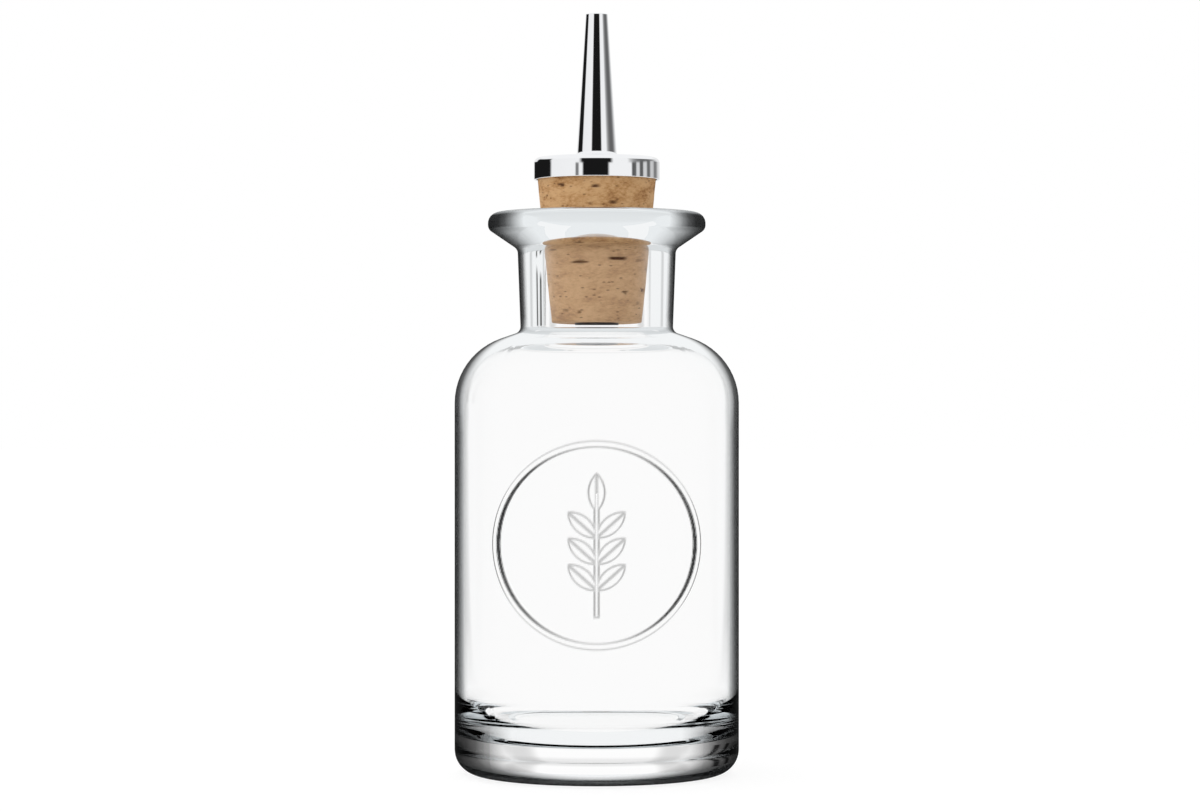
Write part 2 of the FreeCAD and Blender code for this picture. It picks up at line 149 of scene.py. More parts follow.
class StopperSizes(bpy.types.PropertyGroup):
    """Sizes of the cork and of the fittings that it carries."""

    cork_bottom_radius: length("Cork lower radius", 11.2, "Radius of the cork's lower end")
    cork_top_radius: length("Cork upper radius", 14.6, "Radius of the cork inside the cap")
    cork_bore: length("Cork bore", 5.45, "Radius of the hole through the cork")
    cork_edge_round: length("Cork edge round", 0.5, "Rounding of the cork's lower edge")
    pit_depth: length("Pit depth", 0.38, "Depth of the deepest pits in the cork's side")
    cap_radius: length("Cap radius", 15.5, "Outside radius of the cap")
    cap_sheet: length("Cap sheet", 0.6, "Thickness of the cap's metal")
    cap_edge_round: length("Cap edge round", 1.3, "Rounding of the cap's upper edge")
    cap_rim_round: length("Cap rim round", 0.22, "Rounding of the cap's lower rim")
    liner_radius: length("Liner radius", 13.9, "Outside radius of the flat washer under the cap")
    liner_bore: length("Liner bore", 7.3, "Inside radius of that washer")
    spout_tip_radius: length("Spout tip radius", 2.7, "Outside radius of the spout's tip")
    spout_tip_bore: length("Spout tip bore", 1.7, "Inside radius of the spout's tip")
    spout_tip_round: length("Spout tip round", 0.25, "Rounding of the spout's tip")
    spout_root_radius: length("Spout root radius", 4.95, "Radius of the spout above its foot")
    spout_foot_radius: length("Spout foot radius", 6.2, "Radius of the spout's foot on the cap")
    spout_foot_height: length("Spout foot height", 0.4, "Height of the foot's edge")
    spout_foot_fillet: length("Spout foot fillet", 1.2, "Fillet between the foot and the spout")
    shank_radius: length("Shank radius", 4.0, "Radius of the shank that goes down through the cap")
    shank_bore: length("Shank bore", 2.4, "Inside radius at the shank's lower end")
    stem_radius: length("Stem radius", 5.4, "Outside radius of the tube that lines the cork")
    stem_bore: length("Stem bore", 3.0, "Inside radius of that tube")
    stem_flange: length("Stem flange", 7.0, "Radius of the tube's flange under the cap")
    thread_bore: length("Thread bore", 4.05, "Inside radius of the tube where it takes the shank")
    seal_bore: length("Seal bore", 2.6, "Inside radius of the ring under the shank")
    seal_thickness: length("Seal thickness", 1.0, "Thickness of the ring under the shank")
    insert_flange: length("Insert flange", 0.9, "How far the plug's flange reaches into the cork")
    insert_round: length("Insert round", 0.3, "Rounding of the flange's lower edge")
    insert_radius: length("Insert radius", 4.2, "Radius of the plug inside the tube")
    insert_clearance: length("Insert clearance", 0.02, "Gap between the plug and the tube")
    insert_length: length("Insert length", 7.0, "Length of the plug inside the tube")
    orifice_radius: length("Orifice radius", 1.1, "Radius of the hole that measures out a dash")
    funnel_radius: length("Funnel radius", 2.6, "Radius of the funnel above that hole")
    funnel_depth: length("Funnel depth", 2.5, "Depth of that funnel")


class Finishes(bpy.types.PropertyGroup):
    """Colours of the materials."""

    glass_tint: colour("Glass tint", "FEFEFE", "What one surface of the glass lets through")
    glass_shine: colour("Glass shine", "F4F6F7", "What the glass mirrors")
    cork_light: colour("Cork, light", "CBA274", "Palest grain of the cork")
    cork_mid: colour("Cork, mid", "B78B5C", "Main colour of the cork")
    cork_dark: colour("Cork, dark", "94683F", "Darkest grain of the cork")
    # A paler tone laid over the cork's lower end, where it is inside the neck.
    cork_pale_low: colour("Cork, paler low", "F6D6B8", "Paler tone of the cork that stays in the neck")
    cork_pit: colour("Cork pits", "4A2C18", "Bark left in the cork's pits")
    chrome: colour("Chrome", "F1F2F4", "Bright chrome plate")
    stem_plastic: colour("Stem plastic", "DDD9CF", "Pale polyethylene of the stem")
    insert_plastic: colour("Insert plastic", "1A1513", "Black polyethylene of the insert")
    silicone: colour("Silicone", "D2CCBE", "Pale silicone rubber of the liner and the seal")
    floor: colour("Floor", "F4F4F4", "Plain pale floor")


class Studio(bpy.types.PropertyGroup):
    """Camera and light."""

    camera_distance: length("Camera distance", 821.6, "Distance of the camera from the axis")
    camera_height: length("Camera height", 90.52, "Height of the camera above the floor")
    camera_side: length("Camera side", 0.8, "Distance of the camera to the right of the axis")
    lens: bpy.props.FloatProperty(
        name="Lens", description="Focal length in millimetres on a 36 mm wide sensor",
        default=100.0, unit="CAMERA",
    )
    floor_size: length("Floor size", 12000.0, "Width of the floor")
    floor_gap: length("Floor gap", 0.15, "Gap that keeps the faces of the floor and the base apart")
    light_level: bpy.props.FloatProperty(
        name="Light level", description="Brightness of the soft light around the bottle",
        default=1.0, min=0.0,
    )


class BottleSettings(bpy.types.PropertyGroup):
    """All the settings of the bottle, by group."""

    bottle: bpy.props.PointerProperty(
        type=BottleSizes, name="Bottle", description="Sizes of the glass",
    )
    stopper: bpy.props.PointerProperty(
        type=StopperSizes, name="Stopper", description="Sizes of the stopper",
    )
    finishes: bpy.props.PointerProperty(
        type=Finishes, name="Finishes", description="Colours of the materials",
    )
    studio: bpy.props.PointerProperty(type=Studio, name="Studio", description="Camera and light")


# Sections and turning

# Vertices closer than this are one.
WELD = 1e-7
# Widest step of an arc, and the angle between two faces past which their edge is sharp.
ARC_STEP = math.radians(6.0)
SHARP_ANGLE = math.radians(32.0)
# A straight run longer than this many guards is a long one.
LONG_RUN = 4.0


def sweep(bm, geometry, angle, steps, centre=(0.0, 0.0, 0.0), axis=(0.0, 0.0, 1.0), merge=False):
    """Sweeps geometry about an axis, the bottle's own if none is given, and returns its far end."""
    swept = bmesh.ops.spin(
        bm, geom=geometry, cent=centre, axis=axis, dvec=(0.0, 0.0, 0.0), angle=angle, steps=steps,
        use_merge=merge, use_duplicate=False,
    )
    return swept["geom_last"]


def draw_section(bm, corners, closed, guard=0.0):
    """Draws a half section in the XZ plane as a chain of edges, with an arc at each rounded corner.

    A corner is (radius, height, rounding). The chain closes on itself, or starts and ends on the
    axis. With a guard, a long straight run has one more vertex that far from each arc, so that the
    arcs' shading ends there. Returns the number of vertices that stand before each corner.
    """
    places = [Vector((radius, 0.0, height)) for radius, height, _ in corners]
    first = last = None
    counts = []
    for i, (place, corner) in enumerate(zip(places, corners)):
        rounding = corner[2]
        start = place
        if rounding:
            back = (places[i - 1] - place).normalized()
            onward = (places[(i + 1) % len(places)] - place).normalized()
            half_angle = back.angle(onward) / 2.0
            reach = rounding / math.tan(half_angle)
            start = place + back * reach
            end = place + onward * reach
            centre = place + (back + onward).normalized() * (rounding / math.sin(half_angle))
        stops = [start]
        if guard and last and (start - last.co).length > LONG_RUN * guard:
            along = (start - last.co).normalized() * guard
            after = [last.co + along] if corners[i - 1][2] else []
            before = [start - along] if rounding else []
            stops = after + before + stops
        for stop in stops:
            vertex = bm.verts.new(stop)
            if last:
                bm.edges.new((last, vertex))
            first = first or vertex
            last = vertex
        counts.append(len(bm.verts) - 1)
        if rounding:
            opening = math.pi - 2.0 * half_angle
            axis = (start - centre).cross(end - centre).normalized()
            arc = sweep(bm, [vertex], opening, math.ceil(opening / ARC_STEP), centre, axis)
            last = next(item for item in arc if isinstance(item, bmesh.types.BMVert))
    if closed:
        bm.edges.new((last, first))
    return counts


def turn_section(bm, columns):
    """Turns the section that is drawn in a mesh once round the axis."""
    sweep(bm, bm.verts[:] + bm.edges[:], math.tau, columns, merge=True)


def close_surface(bm):
    """Welds poles and seams, and turns all faces outwards."""
    bmesh.ops.remove_doubles(bm, verts=bm.verts[:], dist=WELD)
    bmesh.ops.recalc_face_normals(bm, faces=bm.faces[:])


def turned_mesh(corners, columns):
    """A closed mesh made by turning a closed half section."""
    bm = bmesh.new()
    draw_section(bm, corners, closed=True)
    turn_section(bm, columns)
    close_surface(bm)
    return bm


def make_piece(name, bm, materials, body, node):
    """Makes a finished piece of a mesh, smooth but for its sharp edges.

    It rides on a body in the place of a CAD node, and takes the given materials.
    """
    for face in bm.faces:
        face.smooth = True
    for edge in bm.edges:
        if len(edge.link_faces) == 2 and edge.calc_face_angle(0.0) > SHARP_ANGLE:
            edge.smooth = False
    mesh = bpy.data.meshes.new(name)
    bm.to_mesh(mesh)
    bm.free()
    for material in materials:
        mesh.materials.append(material)
    piece = bpy.data.objects.new(name, mesh)
    bpy.context.scene.collection.objects.link(piece)
    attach(piece, body)
    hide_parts(node)


# Materials

# Sockets of a Mix node for colours, whose names also belong to its sockets for other kinds.
SHARE, UNDER, OVER, MIXED = 0, 6, 7, 2
# Between these lie most values of a noise pattern.
NOISE_RANGE = (0.3, 0.7)


def add_node(tree, kind, values=None, links=None, stops=(), **settings):
    """Adds a node, with its options, the values of its sockets and the sockets that feed it.

    A colour ramp's stops are each a place from 0 to 1 and a colour.
    """
    node = tree.nodes.new(kind)
    for option, value in settings.items():
        setattr(node, option, value)
    for socket, value in (values or {}).items():
        node.inputs[socket].default_value = value
    for socket, source in (links or {}).items():
        tree.links.new(source, node.inputs[socket])
    if stops:
        elements = node.color_ramp.elements
        while len(elements) < len(stops):
            elements.new(1.0)
        for element, (place, shade) in zip(elements, stops):
            element.position = place
            element.color = shade
    return node


def grey(level):
    """A neutral linear colour."""
    return (level, level, level, 1.0)


def new_material(name):
    """An empty node material and its node tree."""
    material = bpy.data.materials.new(name)
    material.use_nodes = True
    tree = material.node_tree
    tree.nodes.clear()
    return material, tree


def per_mm(millimetres):
    """The scale of a pattern whose features are this many millimetres apart."""
    return 1.0 / (millimetres * MM)


GLASS_IOR = 1.5
# Share of light that such glass mirrors square on, which is left out, and the most that its outside
# mirrors edge on.
SQUARE_SHINE = ((GLASS_IOR - 1.0) / (GLASS_IOR + 1.0)) ** 2
OUTSIDE_SHINE = 0.03
# At this blend, Layer Weight's Facing is one less the cosine of the angle to the eye.
COSINE_BLEND = 0.5
# Keeps the turn finite for an eye that looks straight down the axis.
LEAST_SPREAD = 0.0025
# Painted shade on the relief's flanks: the level the glass's colour darkens to there.
FLANK_SHADE_LEVEL = 0.06
# Painted shade: the glass's colour, by how far it turns from the eye: 0 is square on, 1 is edge on.
SOLID_EDGE_SHADE = (
    (0.20, 1.0), (0.28, 0.68), (0.34, 0.44), (0.40, 0.24), (0.48, 0.11), (0.60, 0.05),
    (0.95, 0.012),
)
BODY_EDGE_SHADE = (
    (0.57, 1.0), (0.60, 0.93), (0.63, 0.74), (0.66, 0.50), (0.70, 0.30), (0.75, 0.16),
    (0.80, 0.08), (0.95, 0.012),
)
SLOPE_EDGE_SHADE = (
    (0.56, 1.0), (0.61, 0.86), (0.66, 0.62), (0.71, 0.40), (0.76, 0.14), (0.82, 0.08),
    (0.95, 0.03),
)
NECK_EDGE_SHADE = ((0.55, 1.0), (0.60, 0.70), (0.64, 0.35), (0.70, 0.12), (0.78, 0.04), (0.95, 0.012))
FLARE_EDGE_SHADE = ((0.50, 1.0), (0.58, 0.78), (0.66, 0.45), (0.74, 0.20), (0.82, 0.07), (0.95, 0.012))
LIP_EDGE_SHADE = ((0.26, 1.0), (0.33, 0.62), (0.40, 0.30), (0.47, 0.12), (0.58, 0.04), (0.95, 0.012))
CREST_EDGE_SHADE = ((0.45, 1.0), (0.60, 0.80), (0.75, 0.62), (0.90, 0.50))
# The heights in millimetres between which each of these takes over from the one before, and whether
# it reads the turn of the outline only. It does on the shoulder's slope and on the lip's rim, whose
# faces lean up or down all round.
EDGE_SHADE_ZONES = (
    (SOLID_EDGE_SHADE, None, False),
    (BODY_EDGE_SHADE, (12.0, 17.0), False),
    (SLOPE_EDGE_SHADE, (84.0, 90.0), True),
    (NECK_EDGE_SHADE, (108.0, 112.0), False),
    (FLARE_EDGE_SHADE, (128.0, 130.0), False),
    (LIP_EDGE_SHADE, (132.5, 134.0), True),
    (CREST_EDGE_SHADE, (137.0, 137.8), False),
)
# How often light may be mirrored inside the glass before a painted white glow takes its place,
# from each height up: not at all, and once from the neck's root on. A ramp holds levels up to 1,
# so each time is a tenth.
BOUNCE_STEP = 0.1
BOUNCE_LIMITS = ((0.0, grey(0.5 * BOUNCE_STEP)), (108.5 * MM, grey(1.5 * BOUNCE_STEP)))
# Heights between which that painted glow begins, heights between which it dims, and its level then.
BOUNCE_FADE = (88.0 * MM, 104.0 * MM)
BOUNCE_DIM = (110.0 * MM, 128.0 * MM)
GLOW_DIM_LEVEL = 0.85


def add_turn(tree, normals):
    """How far the glass turns from the eye round the bottle's axis: 0 is square on, 1 is edge on.

    It leaves out how steeply the eye looks down or up. The normals are the links that feed it a
    normal, and none for the surface's own.
    """
    surface = add_node(tree, "ShaderNodeLayerWeight", {"Blend": COSINE_BLEND}, normals)
    axis = add_node(tree, "ShaderNodeCombineXYZ", {"Z": 1.0})
    level = add_node(
        tree, "ShaderNodeLayerWeight", {"Blend": COSINE_BLEND}, {"Normal": axis.outputs["Vector"]},
    ).outputs["Facing"]
    square = add_node(
        tree, "ShaderNodeMath", {0: 1.0}, {1: surface.outputs["Facing"]}, operation="SUBTRACT",
    )
    rest = add_node(tree, "ShaderNodeMath", {0: 2.0}, {1: level}, operation="SUBTRACT")
    spread = add_node(
        tree, "ShaderNodeMath", {2: LEAST_SPREAD}, {0: level, 1: rest.outputs["Value"]},
        operation="MULTIPLY_ADD",
    )
    reach = add_node(
        tree, "ShaderNodeMath", {1: 0.5}, {0: spread.outputs["Value"]}, operation="POWER",
    )
    share = add_node(
        tree, "ShaderNodeMath", links={0: square.outputs["Value"], 1: reach.outputs["Value"]},
        operation="DIVIDE",
    )
    return add_node(
        tree, "ShaderNodeMath", {0: 1.0}, {1: share.outputs["Value"]}, operation="SUBTRACT",
        use_clamp=True,
    ).outputs["Value"]


def add_edge_shade(tree, tint, place, height):
    """Painted shade on the glass's outside: darker edge on and on the relief's flanks."""
    radial = add_node(
        tree, "ShaderNodeVectorMath", {1: (1.0, 1.0, 0.0)}, {0: place}, operation="MULTIPLY",
    )
    outward = add_node(
        tree, "ShaderNodeVectorMath", links={0: radial.outputs["Vector"]}, operation="NORMALIZE",
    )
    surface_turn = add_turn(tree, {})
    outline_turn = add_turn(tree, {"Normal": outward.outputs["Vector"]})
    shade = None
    for levels, takes_over, outline in EDGE_SHADE_ZONES:
        zone = add_node(
            tree, "ShaderNodeValToRGB", links={"Fac": outline_turn if outline else surface_turn},
            stops=[(turn, [level * part for part in tint[:3]] + [1.0]) for turn, level in levels],
        ).outputs["Color"]
        if not takes_over:
            shade = zone
            continue
        low, high = takes_over
        above = add_node(
            tree, "ShaderNodeMapRange", {"From Min": low * MM, "From Max": high * MM},
            {"Value": height},
        )
        shade = add_node(
            tree, "ShaderNodeMix", links={SHARE: above.outputs["Result"], UNDER: shade, OVER: zone},
            data_type="RGBA",
        ).outputs[MIXED]
    # The relief's flanks carry painted shade that darkens the glass's colour.
    flank_shade = add_node(tree, "ShaderNodeAttribute", attribute_name="flank_shade")
    return add_node(
        tree, "ShaderNodeMix", {OVER: grey(FLANK_SHADE_LEVEL)},
        {SHARE: flank_shade.outputs["Fac"], UNDER: shade}, data_type="RGBA",
    ).outputs[MIXED]


def make_glass(name, finishes, outside):
    """Clear flint glass, pressed and fire polished: bends light, and mirrors more to its edges.

    The outside also gets painted shade where it is seen edge on, where the eye looks along the wall
    and not through it: its colour is darkened there. Light that has been mirrored too often inside
    the shoulder, the neck and the lip ends as a painted glow of the studio's white.
    """
    material, tree = new_material(name)
    place = add_node(tree, "ShaderNodeTexCoord").outputs["Object"]
    height = add_node(tree, "ShaderNodeSeparateXYZ", links={"Vector": place}).outputs["Z"]
    bend = add_node(
        tree, "ShaderNodeBsdfRefraction",
        {"Color": finishes.glass_tint, "Roughness": 0.0, "IOR": GLASS_IOR},
    )
    # On the outside, painted shade darkens what the glass lets through.
    if outside:
        shade = add_edge_shade(tree, finishes.glass_tint, place, height)
        tree.links.new(shade, bend.inputs["Color"])
    mirror = add_node(
        tree, "ShaderNodeBsdfAnisotropic", {"Color": finishes.glass_shine, "Roughness": 0.0},
    )
    fresnel = add_node(tree, "ShaderNodeFresnel", {"IOR": GLASS_IOR})
    inside = add_node(tree, "ShaderNodeNewGeometry").outputs["Backfacing"]
    most = add_node(
        tree, "ShaderNodeMapRange", {"To Min": OUTSIDE_SHINE, "To Max": 1.0}, {"Value": inside},
    )
    share = add_node(
        tree, "ShaderNodeMapRange", {"From Min": SQUARE_SHINE, "From Max": 1.0, "To Min": 0.0},
        {"Value": fresnel.outputs["Fac"], "To Max": most.outputs["Result"]},
    )
    clear = add_node(tree, "ShaderNodeMixShader", links={
        0: share.outputs["Result"], 1: bend.outputs["BSDF"], 2: mirror.outputs["BSDF"],
    })

    path = add_node(tree, "ShaderNodeLightPath")
    bounces = add_node(
        tree, "ShaderNodeMath", {1: BOUNCE_STEP}, {0: path.outputs["Glossy Depth"]},
        operation="MULTIPLY",
    )
    limit = add_node(tree, "ShaderNodeValToRGB", links={"Fac": height}, stops=BOUNCE_LIMITS)
    limit.color_ramp.interpolation = "CONSTANT"
    many = add_node(
        tree, "ShaderNodeMath", links={0: bounces.outputs["Value"], 1: limit.outputs["Color"]},
        operation="GREATER_THAN",
    )
    ends = add_node(
        tree, "ShaderNodeMapRange", {"From Min": BOUNCE_FADE[0], "From Max": BOUNCE_FADE[1]},
        {"Value": height, "To Max": many.outputs["Value"]},
    )
    level = add_node(tree, "ShaderNodeMapRange", {
        "From Min": BOUNCE_DIM[0], "From Max": BOUNCE_DIM[1], "To Min": 1.0, "To Max": GLOW_DIM_LEVEL,
    }, {"Value": height})
    # Painted glow: the glass emits white here, though it is no lamp.
    white = add_node(tree, "ShaderNodeEmission", links={"Color": level.outputs["Result"]})
    surface = add_node(tree, "ShaderNodeMixShader", links={
        0: ends.outputs["Result"], 1: clear.outputs["Shader"], 2: white.outputs["Emission"],
    })
    add_node(tree, "ShaderNodeOutputMaterial", links={"Surface": surface.outputs["Shader"]})
    return material


# Heights between which the cork turns from a paler tone, inside the neck, to its own colour, and
# how far the paler tone covers its own colour at the bottom.
CORK_PALE_HEIGHTS = (127.0 * MM, 136.0 * MM)
PALE_LOW_SHARE = 0.24
# What the broad patches and the fine grain add to the cork's tone, and the specks to its bark.
PATCH_SHARE = 0.55
GRAIN_SHARE = 0.45
SPECK_SHARE = 0.6


def make_natural_cork(finishes):
    """Natural cork, turned and sanded: soft patches of warm tan, fine specks and bark in the pits.

    The patches lie flat: they are about twice as wide as they are high.
    """
    material, tree = new_material("natural_cork")
    place = add_node(tree, "ShaderNodeTexCoord").outputs["Object"]
    height = add_node(tree, "ShaderNodeSeparateXYZ", links={"Vector": place}).outputs["Z"]
    flat = add_node(
        tree, "ShaderNodeMapping", {"Scale": (1.0, 1.0, 2.2)}, {"Vector": place},
    ).outputs["Vector"]
    patches = add_node(
        tree, "ShaderNodeTexNoise", {"Scale": per_mm(6.0), "Detail": 4.0, "Roughness": 0.6},
        {"Vector": flat},
    )
    grain = add_node(
        tree, "ShaderNodeTexNoise", {"Scale": per_mm(1.1), "Detail": 6.0, "Roughness": 0.7},
        {"Vector": flat},
    )
    blend = add_node(
        tree, "ShaderNodeMath", {1: PATCH_SHARE}, {0: patches.outputs["Fac"]}, operation="MULTIPLY",
    )
    tone = add_node(
        tree, "ShaderNodeMath", {1: GRAIN_SHARE},
        {0: grain.outputs["Fac"], 2: blend.outputs["Value"]}, operation="MULTIPLY_ADD",
    )
    body = add_node(tree, "ShaderNodeValToRGB", links={"Fac": tone.outputs["Value"]}, stops=[
        (0.38, finishes.cork_dark), (0.47, finishes.cork_mid), (0.57, finishes.cork_light),
    ])
    # Paler towards the bottom, where the cork is inside the neck.
    paling = add_node(tree, "ShaderNodeMapRange", {
        "From Min": CORK_PALE_HEIGHTS[0], "From Max": CORK_PALE_HEIGHTS[1], "To Min": PALE_LOW_SHARE, "To Max": 0.0,
    }, {"Value": height})
    paled = add_node(
        tree, "ShaderNodeMix", {OVER: finishes.cork_pale_low},
        {SHARE: paling.outputs["Result"], UNDER: body.outputs["Color"]}, data_type="RGBA",
    )
    cells = add_node(
        tree, "ShaderNodeTexVoronoi", {"Scale": per_mm(2.6), "Randomness": 1.0}, {"Vector": flat},
    )
    specks = add_node(tree, "ShaderNodeValToRGB", links={"Fac": cells.outputs["Distance"]}, stops=[
        (0.08, grey(1.0)), (0.20, grey(0.0)),
    ])
    pit = add_node(tree, "ShaderNodeAttribute", attribute_name="pit")
    dark = add_node(
        tree, "ShaderNodeMath", {1: SPECK_SHARE},
        {0: specks.outputs["Color"], 2: pit.outputs["Fac"]}, operation="MULTIPLY_ADD",
        use_clamp=True,
    )
    skin = add_node(
        tree, "ShaderNodeMix", {OVER: finishes.cork_pit},
        {SHARE: dark.outputs["Value"], UNDER: paled.outputs[MIXED]}, data_type="RGBA",
    )
    bump = add_node(
        tree, "ShaderNodeBump", {"Strength": 0.5, "Distance": 0.15 * MM},
        {"Height": grain.outputs["Fac"]},
    )
    surface = add_node(
        tree, "ShaderNodeBsdfPrincipled", {"Roughness": 0.85, "Specular IOR Level": 0.25},
        {"Base Color": skin.outputs[MIXED], "Normal": bump.outputs["Normal"]},
    )
    add_node(tree, "ShaderNodeOutputMaterial", links={"Surface": surface.outputs["BSDF"]})
    return material


def make_chrome(name, finishes):
    """Bright chrome plate, polished: a near mirror, softer in faint hairlines round the axis.

    Real hairlines are too fine to show, so they are drawn as coarse as they need to.
    """
    material, tree = new_material(name)
    place = add_node(tree, "ShaderNodeTexCoord").outputs["Object"]
    rings = add_node(tree, "ShaderNodeMapping", {"Scale": (0.15, 0.15, 1.0)}, {"Vector": place})
    hairlines = add_node(
        tree, "ShaderNodeTexNoise", {"Scale": per_mm(0.7), "Detail": 3.0, "Roughness": 0.6},
        {"Vector": rings.outputs["Vector"]},
    )
    rough = add_node(tree, "ShaderNodeMapRange", {
        "From Min": NOISE_RANGE[0], "From Max": NOISE_RANGE[1], "To Min": 0.02, "To Max": 0.06,
    }, {"Value": hairlines.outputs["Fac"]})
    surface = add_node(
        tree, "ShaderNodeBsdfPrincipled", {"Base Color": finishes.chrome, "Metallic": 1.0},
        {"Roughness": rough.outputs["Result"]},
    )
    add_node(tree, "ShaderNodeOutputMaterial", links={"Surface": surface.outputs["BSDF"]})
    return material


# How far the fine skin of a moulded polymer makes it rougher or smoother.
SKIN_SPREAD = 0.06


def make_polymer(name, shade, roughness, mottle_mm, depth):
    """Moulded polymer: one colour with a faint mottle, a fine moulded skin and a soft shine.

    The skin's real grain is too fine to show, so it is drawn as coarse as it needs to.
    """
    material, tree = new_material(name)
    place = add_node(tree, "ShaderNodeTexCoord").outputs["Object"]
    mottle = add_node(
        tree, "ShaderNodeTexNoise", {"Scale": per_mm(mottle_mm), "Detail": 4.0}, {"Vector": place},
    )
    paler = [min(1.0, part * (1.0 + depth)) for part in shade[:3]] + [1.0]
    darker = [part * (1.0 - depth) for part in shade[:3]] + [1.0]
    tone = add_node(tree, "ShaderNodeValToRGB", links={"Fac": mottle.outputs["Fac"]}, stops=[
        (0.35, darker), (0.65, paler),
    ])
    skin = add_node(
        tree, "ShaderNodeTexNoise", {"Scale": per_mm(0.3), "Detail": 2.0}, {"Vector": place},
    )
    rough = add_node(tree, "ShaderNodeMapRange", {
        "From Min": NOISE_RANGE[0], "From Max": NOISE_RANGE[1],
        "To Min": roughness - SKIN_SPREAD, "To Max": roughness + SKIN_SPREAD,
    }, {"Value": skin.outputs["Fac"]})
    bump = add_node(
        tree, "ShaderNodeBump", {"Strength": 0.15, "Distance": 0.05 * MM},
        {"Height": skin.outputs["Fac"]},
    )
    surface = add_node(tree, "ShaderNodeBsdfPrincipled", links={
        "Base Color": tone.outputs["Color"],
        "Roughness": rough.outputs["Result"],
        "Normal": bump.outputs["Normal"],
    })
    add_node(tree, "ShaderNodeOutputMaterial", links={"Surface": surface.outputs["BSDF"]})
    return material


# The glass bottle

# The front faces -Y and carries the relief, so its columns and rows are fine.
FRONT_MIDDLE = 1.5 * math.pi
FRONT_HALF_ANGLE = math.radians(47.0)
FRONT_COLUMNS = 188
BACK_COLUMNS = 84
RELIEF_ROW = 0.32 * MM
# How far the fine rows reach beyond the ring, and the sprig's part of the relief beyond the sprig.
RELIEF_MARGIN = 1.2 * MM
# How far from an arc a straight run has a vertex of its own.
ARC_GUARD = 2.0 * MM
# Half the width of the relief's soft flanks.
RELIEF_SOFT = 0.42 * MM
# How much painted shade the flanks take: the ring's least, its most at the inner sides, and the
# sprig's.
RING_FLANK_SHADE = (0.34, 2.2)
SPRIG_FLANK_SHADE = 0.48
# Share of a leaf's height that its vein takes away, and the vein's half width.
VEIN_SHARE = 0.45
VEIN_HALF_WIDTH = 0.32 * MM


def bottle_corners(sizes):
    """The glass section's corners, and the numbers of two of them.

    These are the lower end of the panel that carries the relief, and the first inside the bottle.
    """
    cavity = sizes.body_radius - sizes.wall
    bearing = sizes.body_radius - sizes.heel_radius - sizes.bearing_width
    run = sizes.body_radius - sizes.neck_root_radius
    slope = sizes.shoulder_rise / run
    inner_shoulder = sizes.body_height + sizes.wall * slope - sizes.wall * math.hypot(1.0, slope)
    inner_root = inner_shoulder + (cavity - sizes.neck_bore) * slope
    neck_root = sizes.body_height + sizes.shoulder_rise
    neck_top = neck_root + sizes.neck_length
    foot = [
        (0.0, sizes.push_up_height + sizes.push_up_crown, 0.0),
        (bearing - sizes.push_up_run, sizes.push_up_height, sizes.push_up_round),
        (bearing, 0.0, sizes.bearing_round),
        (sizes.body_radius, 0.0, sizes.heel_radius),
    ]
    panel = [
        (sizes.body_radius, sizes.medallion_height - sizes.medallion_radius - RELIEF_MARGIN, 0.0),
        (sizes.body_radius, sizes.medallion_height + sizes.medallion_radius + RELIEF_MARGIN, 0.0),
    ]
    top = [
        (sizes.body_radius, sizes.body_height, sizes.shoulder_radius),
        (sizes.neck_root_radius, neck_root, sizes.neck_root_fillet),
        (sizes.neck_top_radius, neck_top, sizes.neck_top_fillet),
        (sizes.lip_radius, neck_top + sizes.lip_flare, sizes.lip_under_round),
        (sizes.lip_radius, GLASS_TOP, sizes.lip_top_round),
    ]
    inside = [
        (sizes.lip_radius - sizes.lip_top_round - sizes.lip_land, GLASS_TOP, sizes.dish_round),
        (sizes.mouth_radius, GLASS_TOP - sizes.dish_depth, sizes.mouth_round),
        (sizes.neck_bore, GLASS_TOP - sizes.seat_depth, 0.0),
        (sizes.neck_bore, inner_root, sizes.neck_bore_round),
        (cavity, inner_shoulder, sizes.shoulder_radius - sizes.wall),
        (cavity, sizes.floor_height, sizes.floor_corner),
        (0.0, sizes.floor_height + sizes.floor_crown, 0.0),
    ]
    outside = foot + panel + top
    return outside + inside, len(foot), len(outside)


def swell(distance, soft):
    """From 1 well inside an outline to 0 well outside it, where distance is negative inside."""
    share = min(1.0, max(0.0, 0.5 - distance / (2.0 * soft)))
    return share * share * (3.0 - 2.0 * share)


def leaf_distance(x, z, foot, lean, sizes):
    """Distance of a point outside a pointed leaf, negative inside it, and across its vein.

    A leaf is the overlap of two discs.
    """
    along = x * math.sin(lean) + (z - foot) * math.cos(lean)
    across = x * math.cos(lean) - (z - foot) * math.sin(lean)
    arc = (sizes.leaf_length ** 2 + sizes.leaf_width ** 2) / (4.0 * sizes.leaf_width)
    offset = arc - sizes.leaf_width / 2.0
    return math.hypot(along - sizes.leaf_length / 2.0, abs(across) + offset) - arc, across


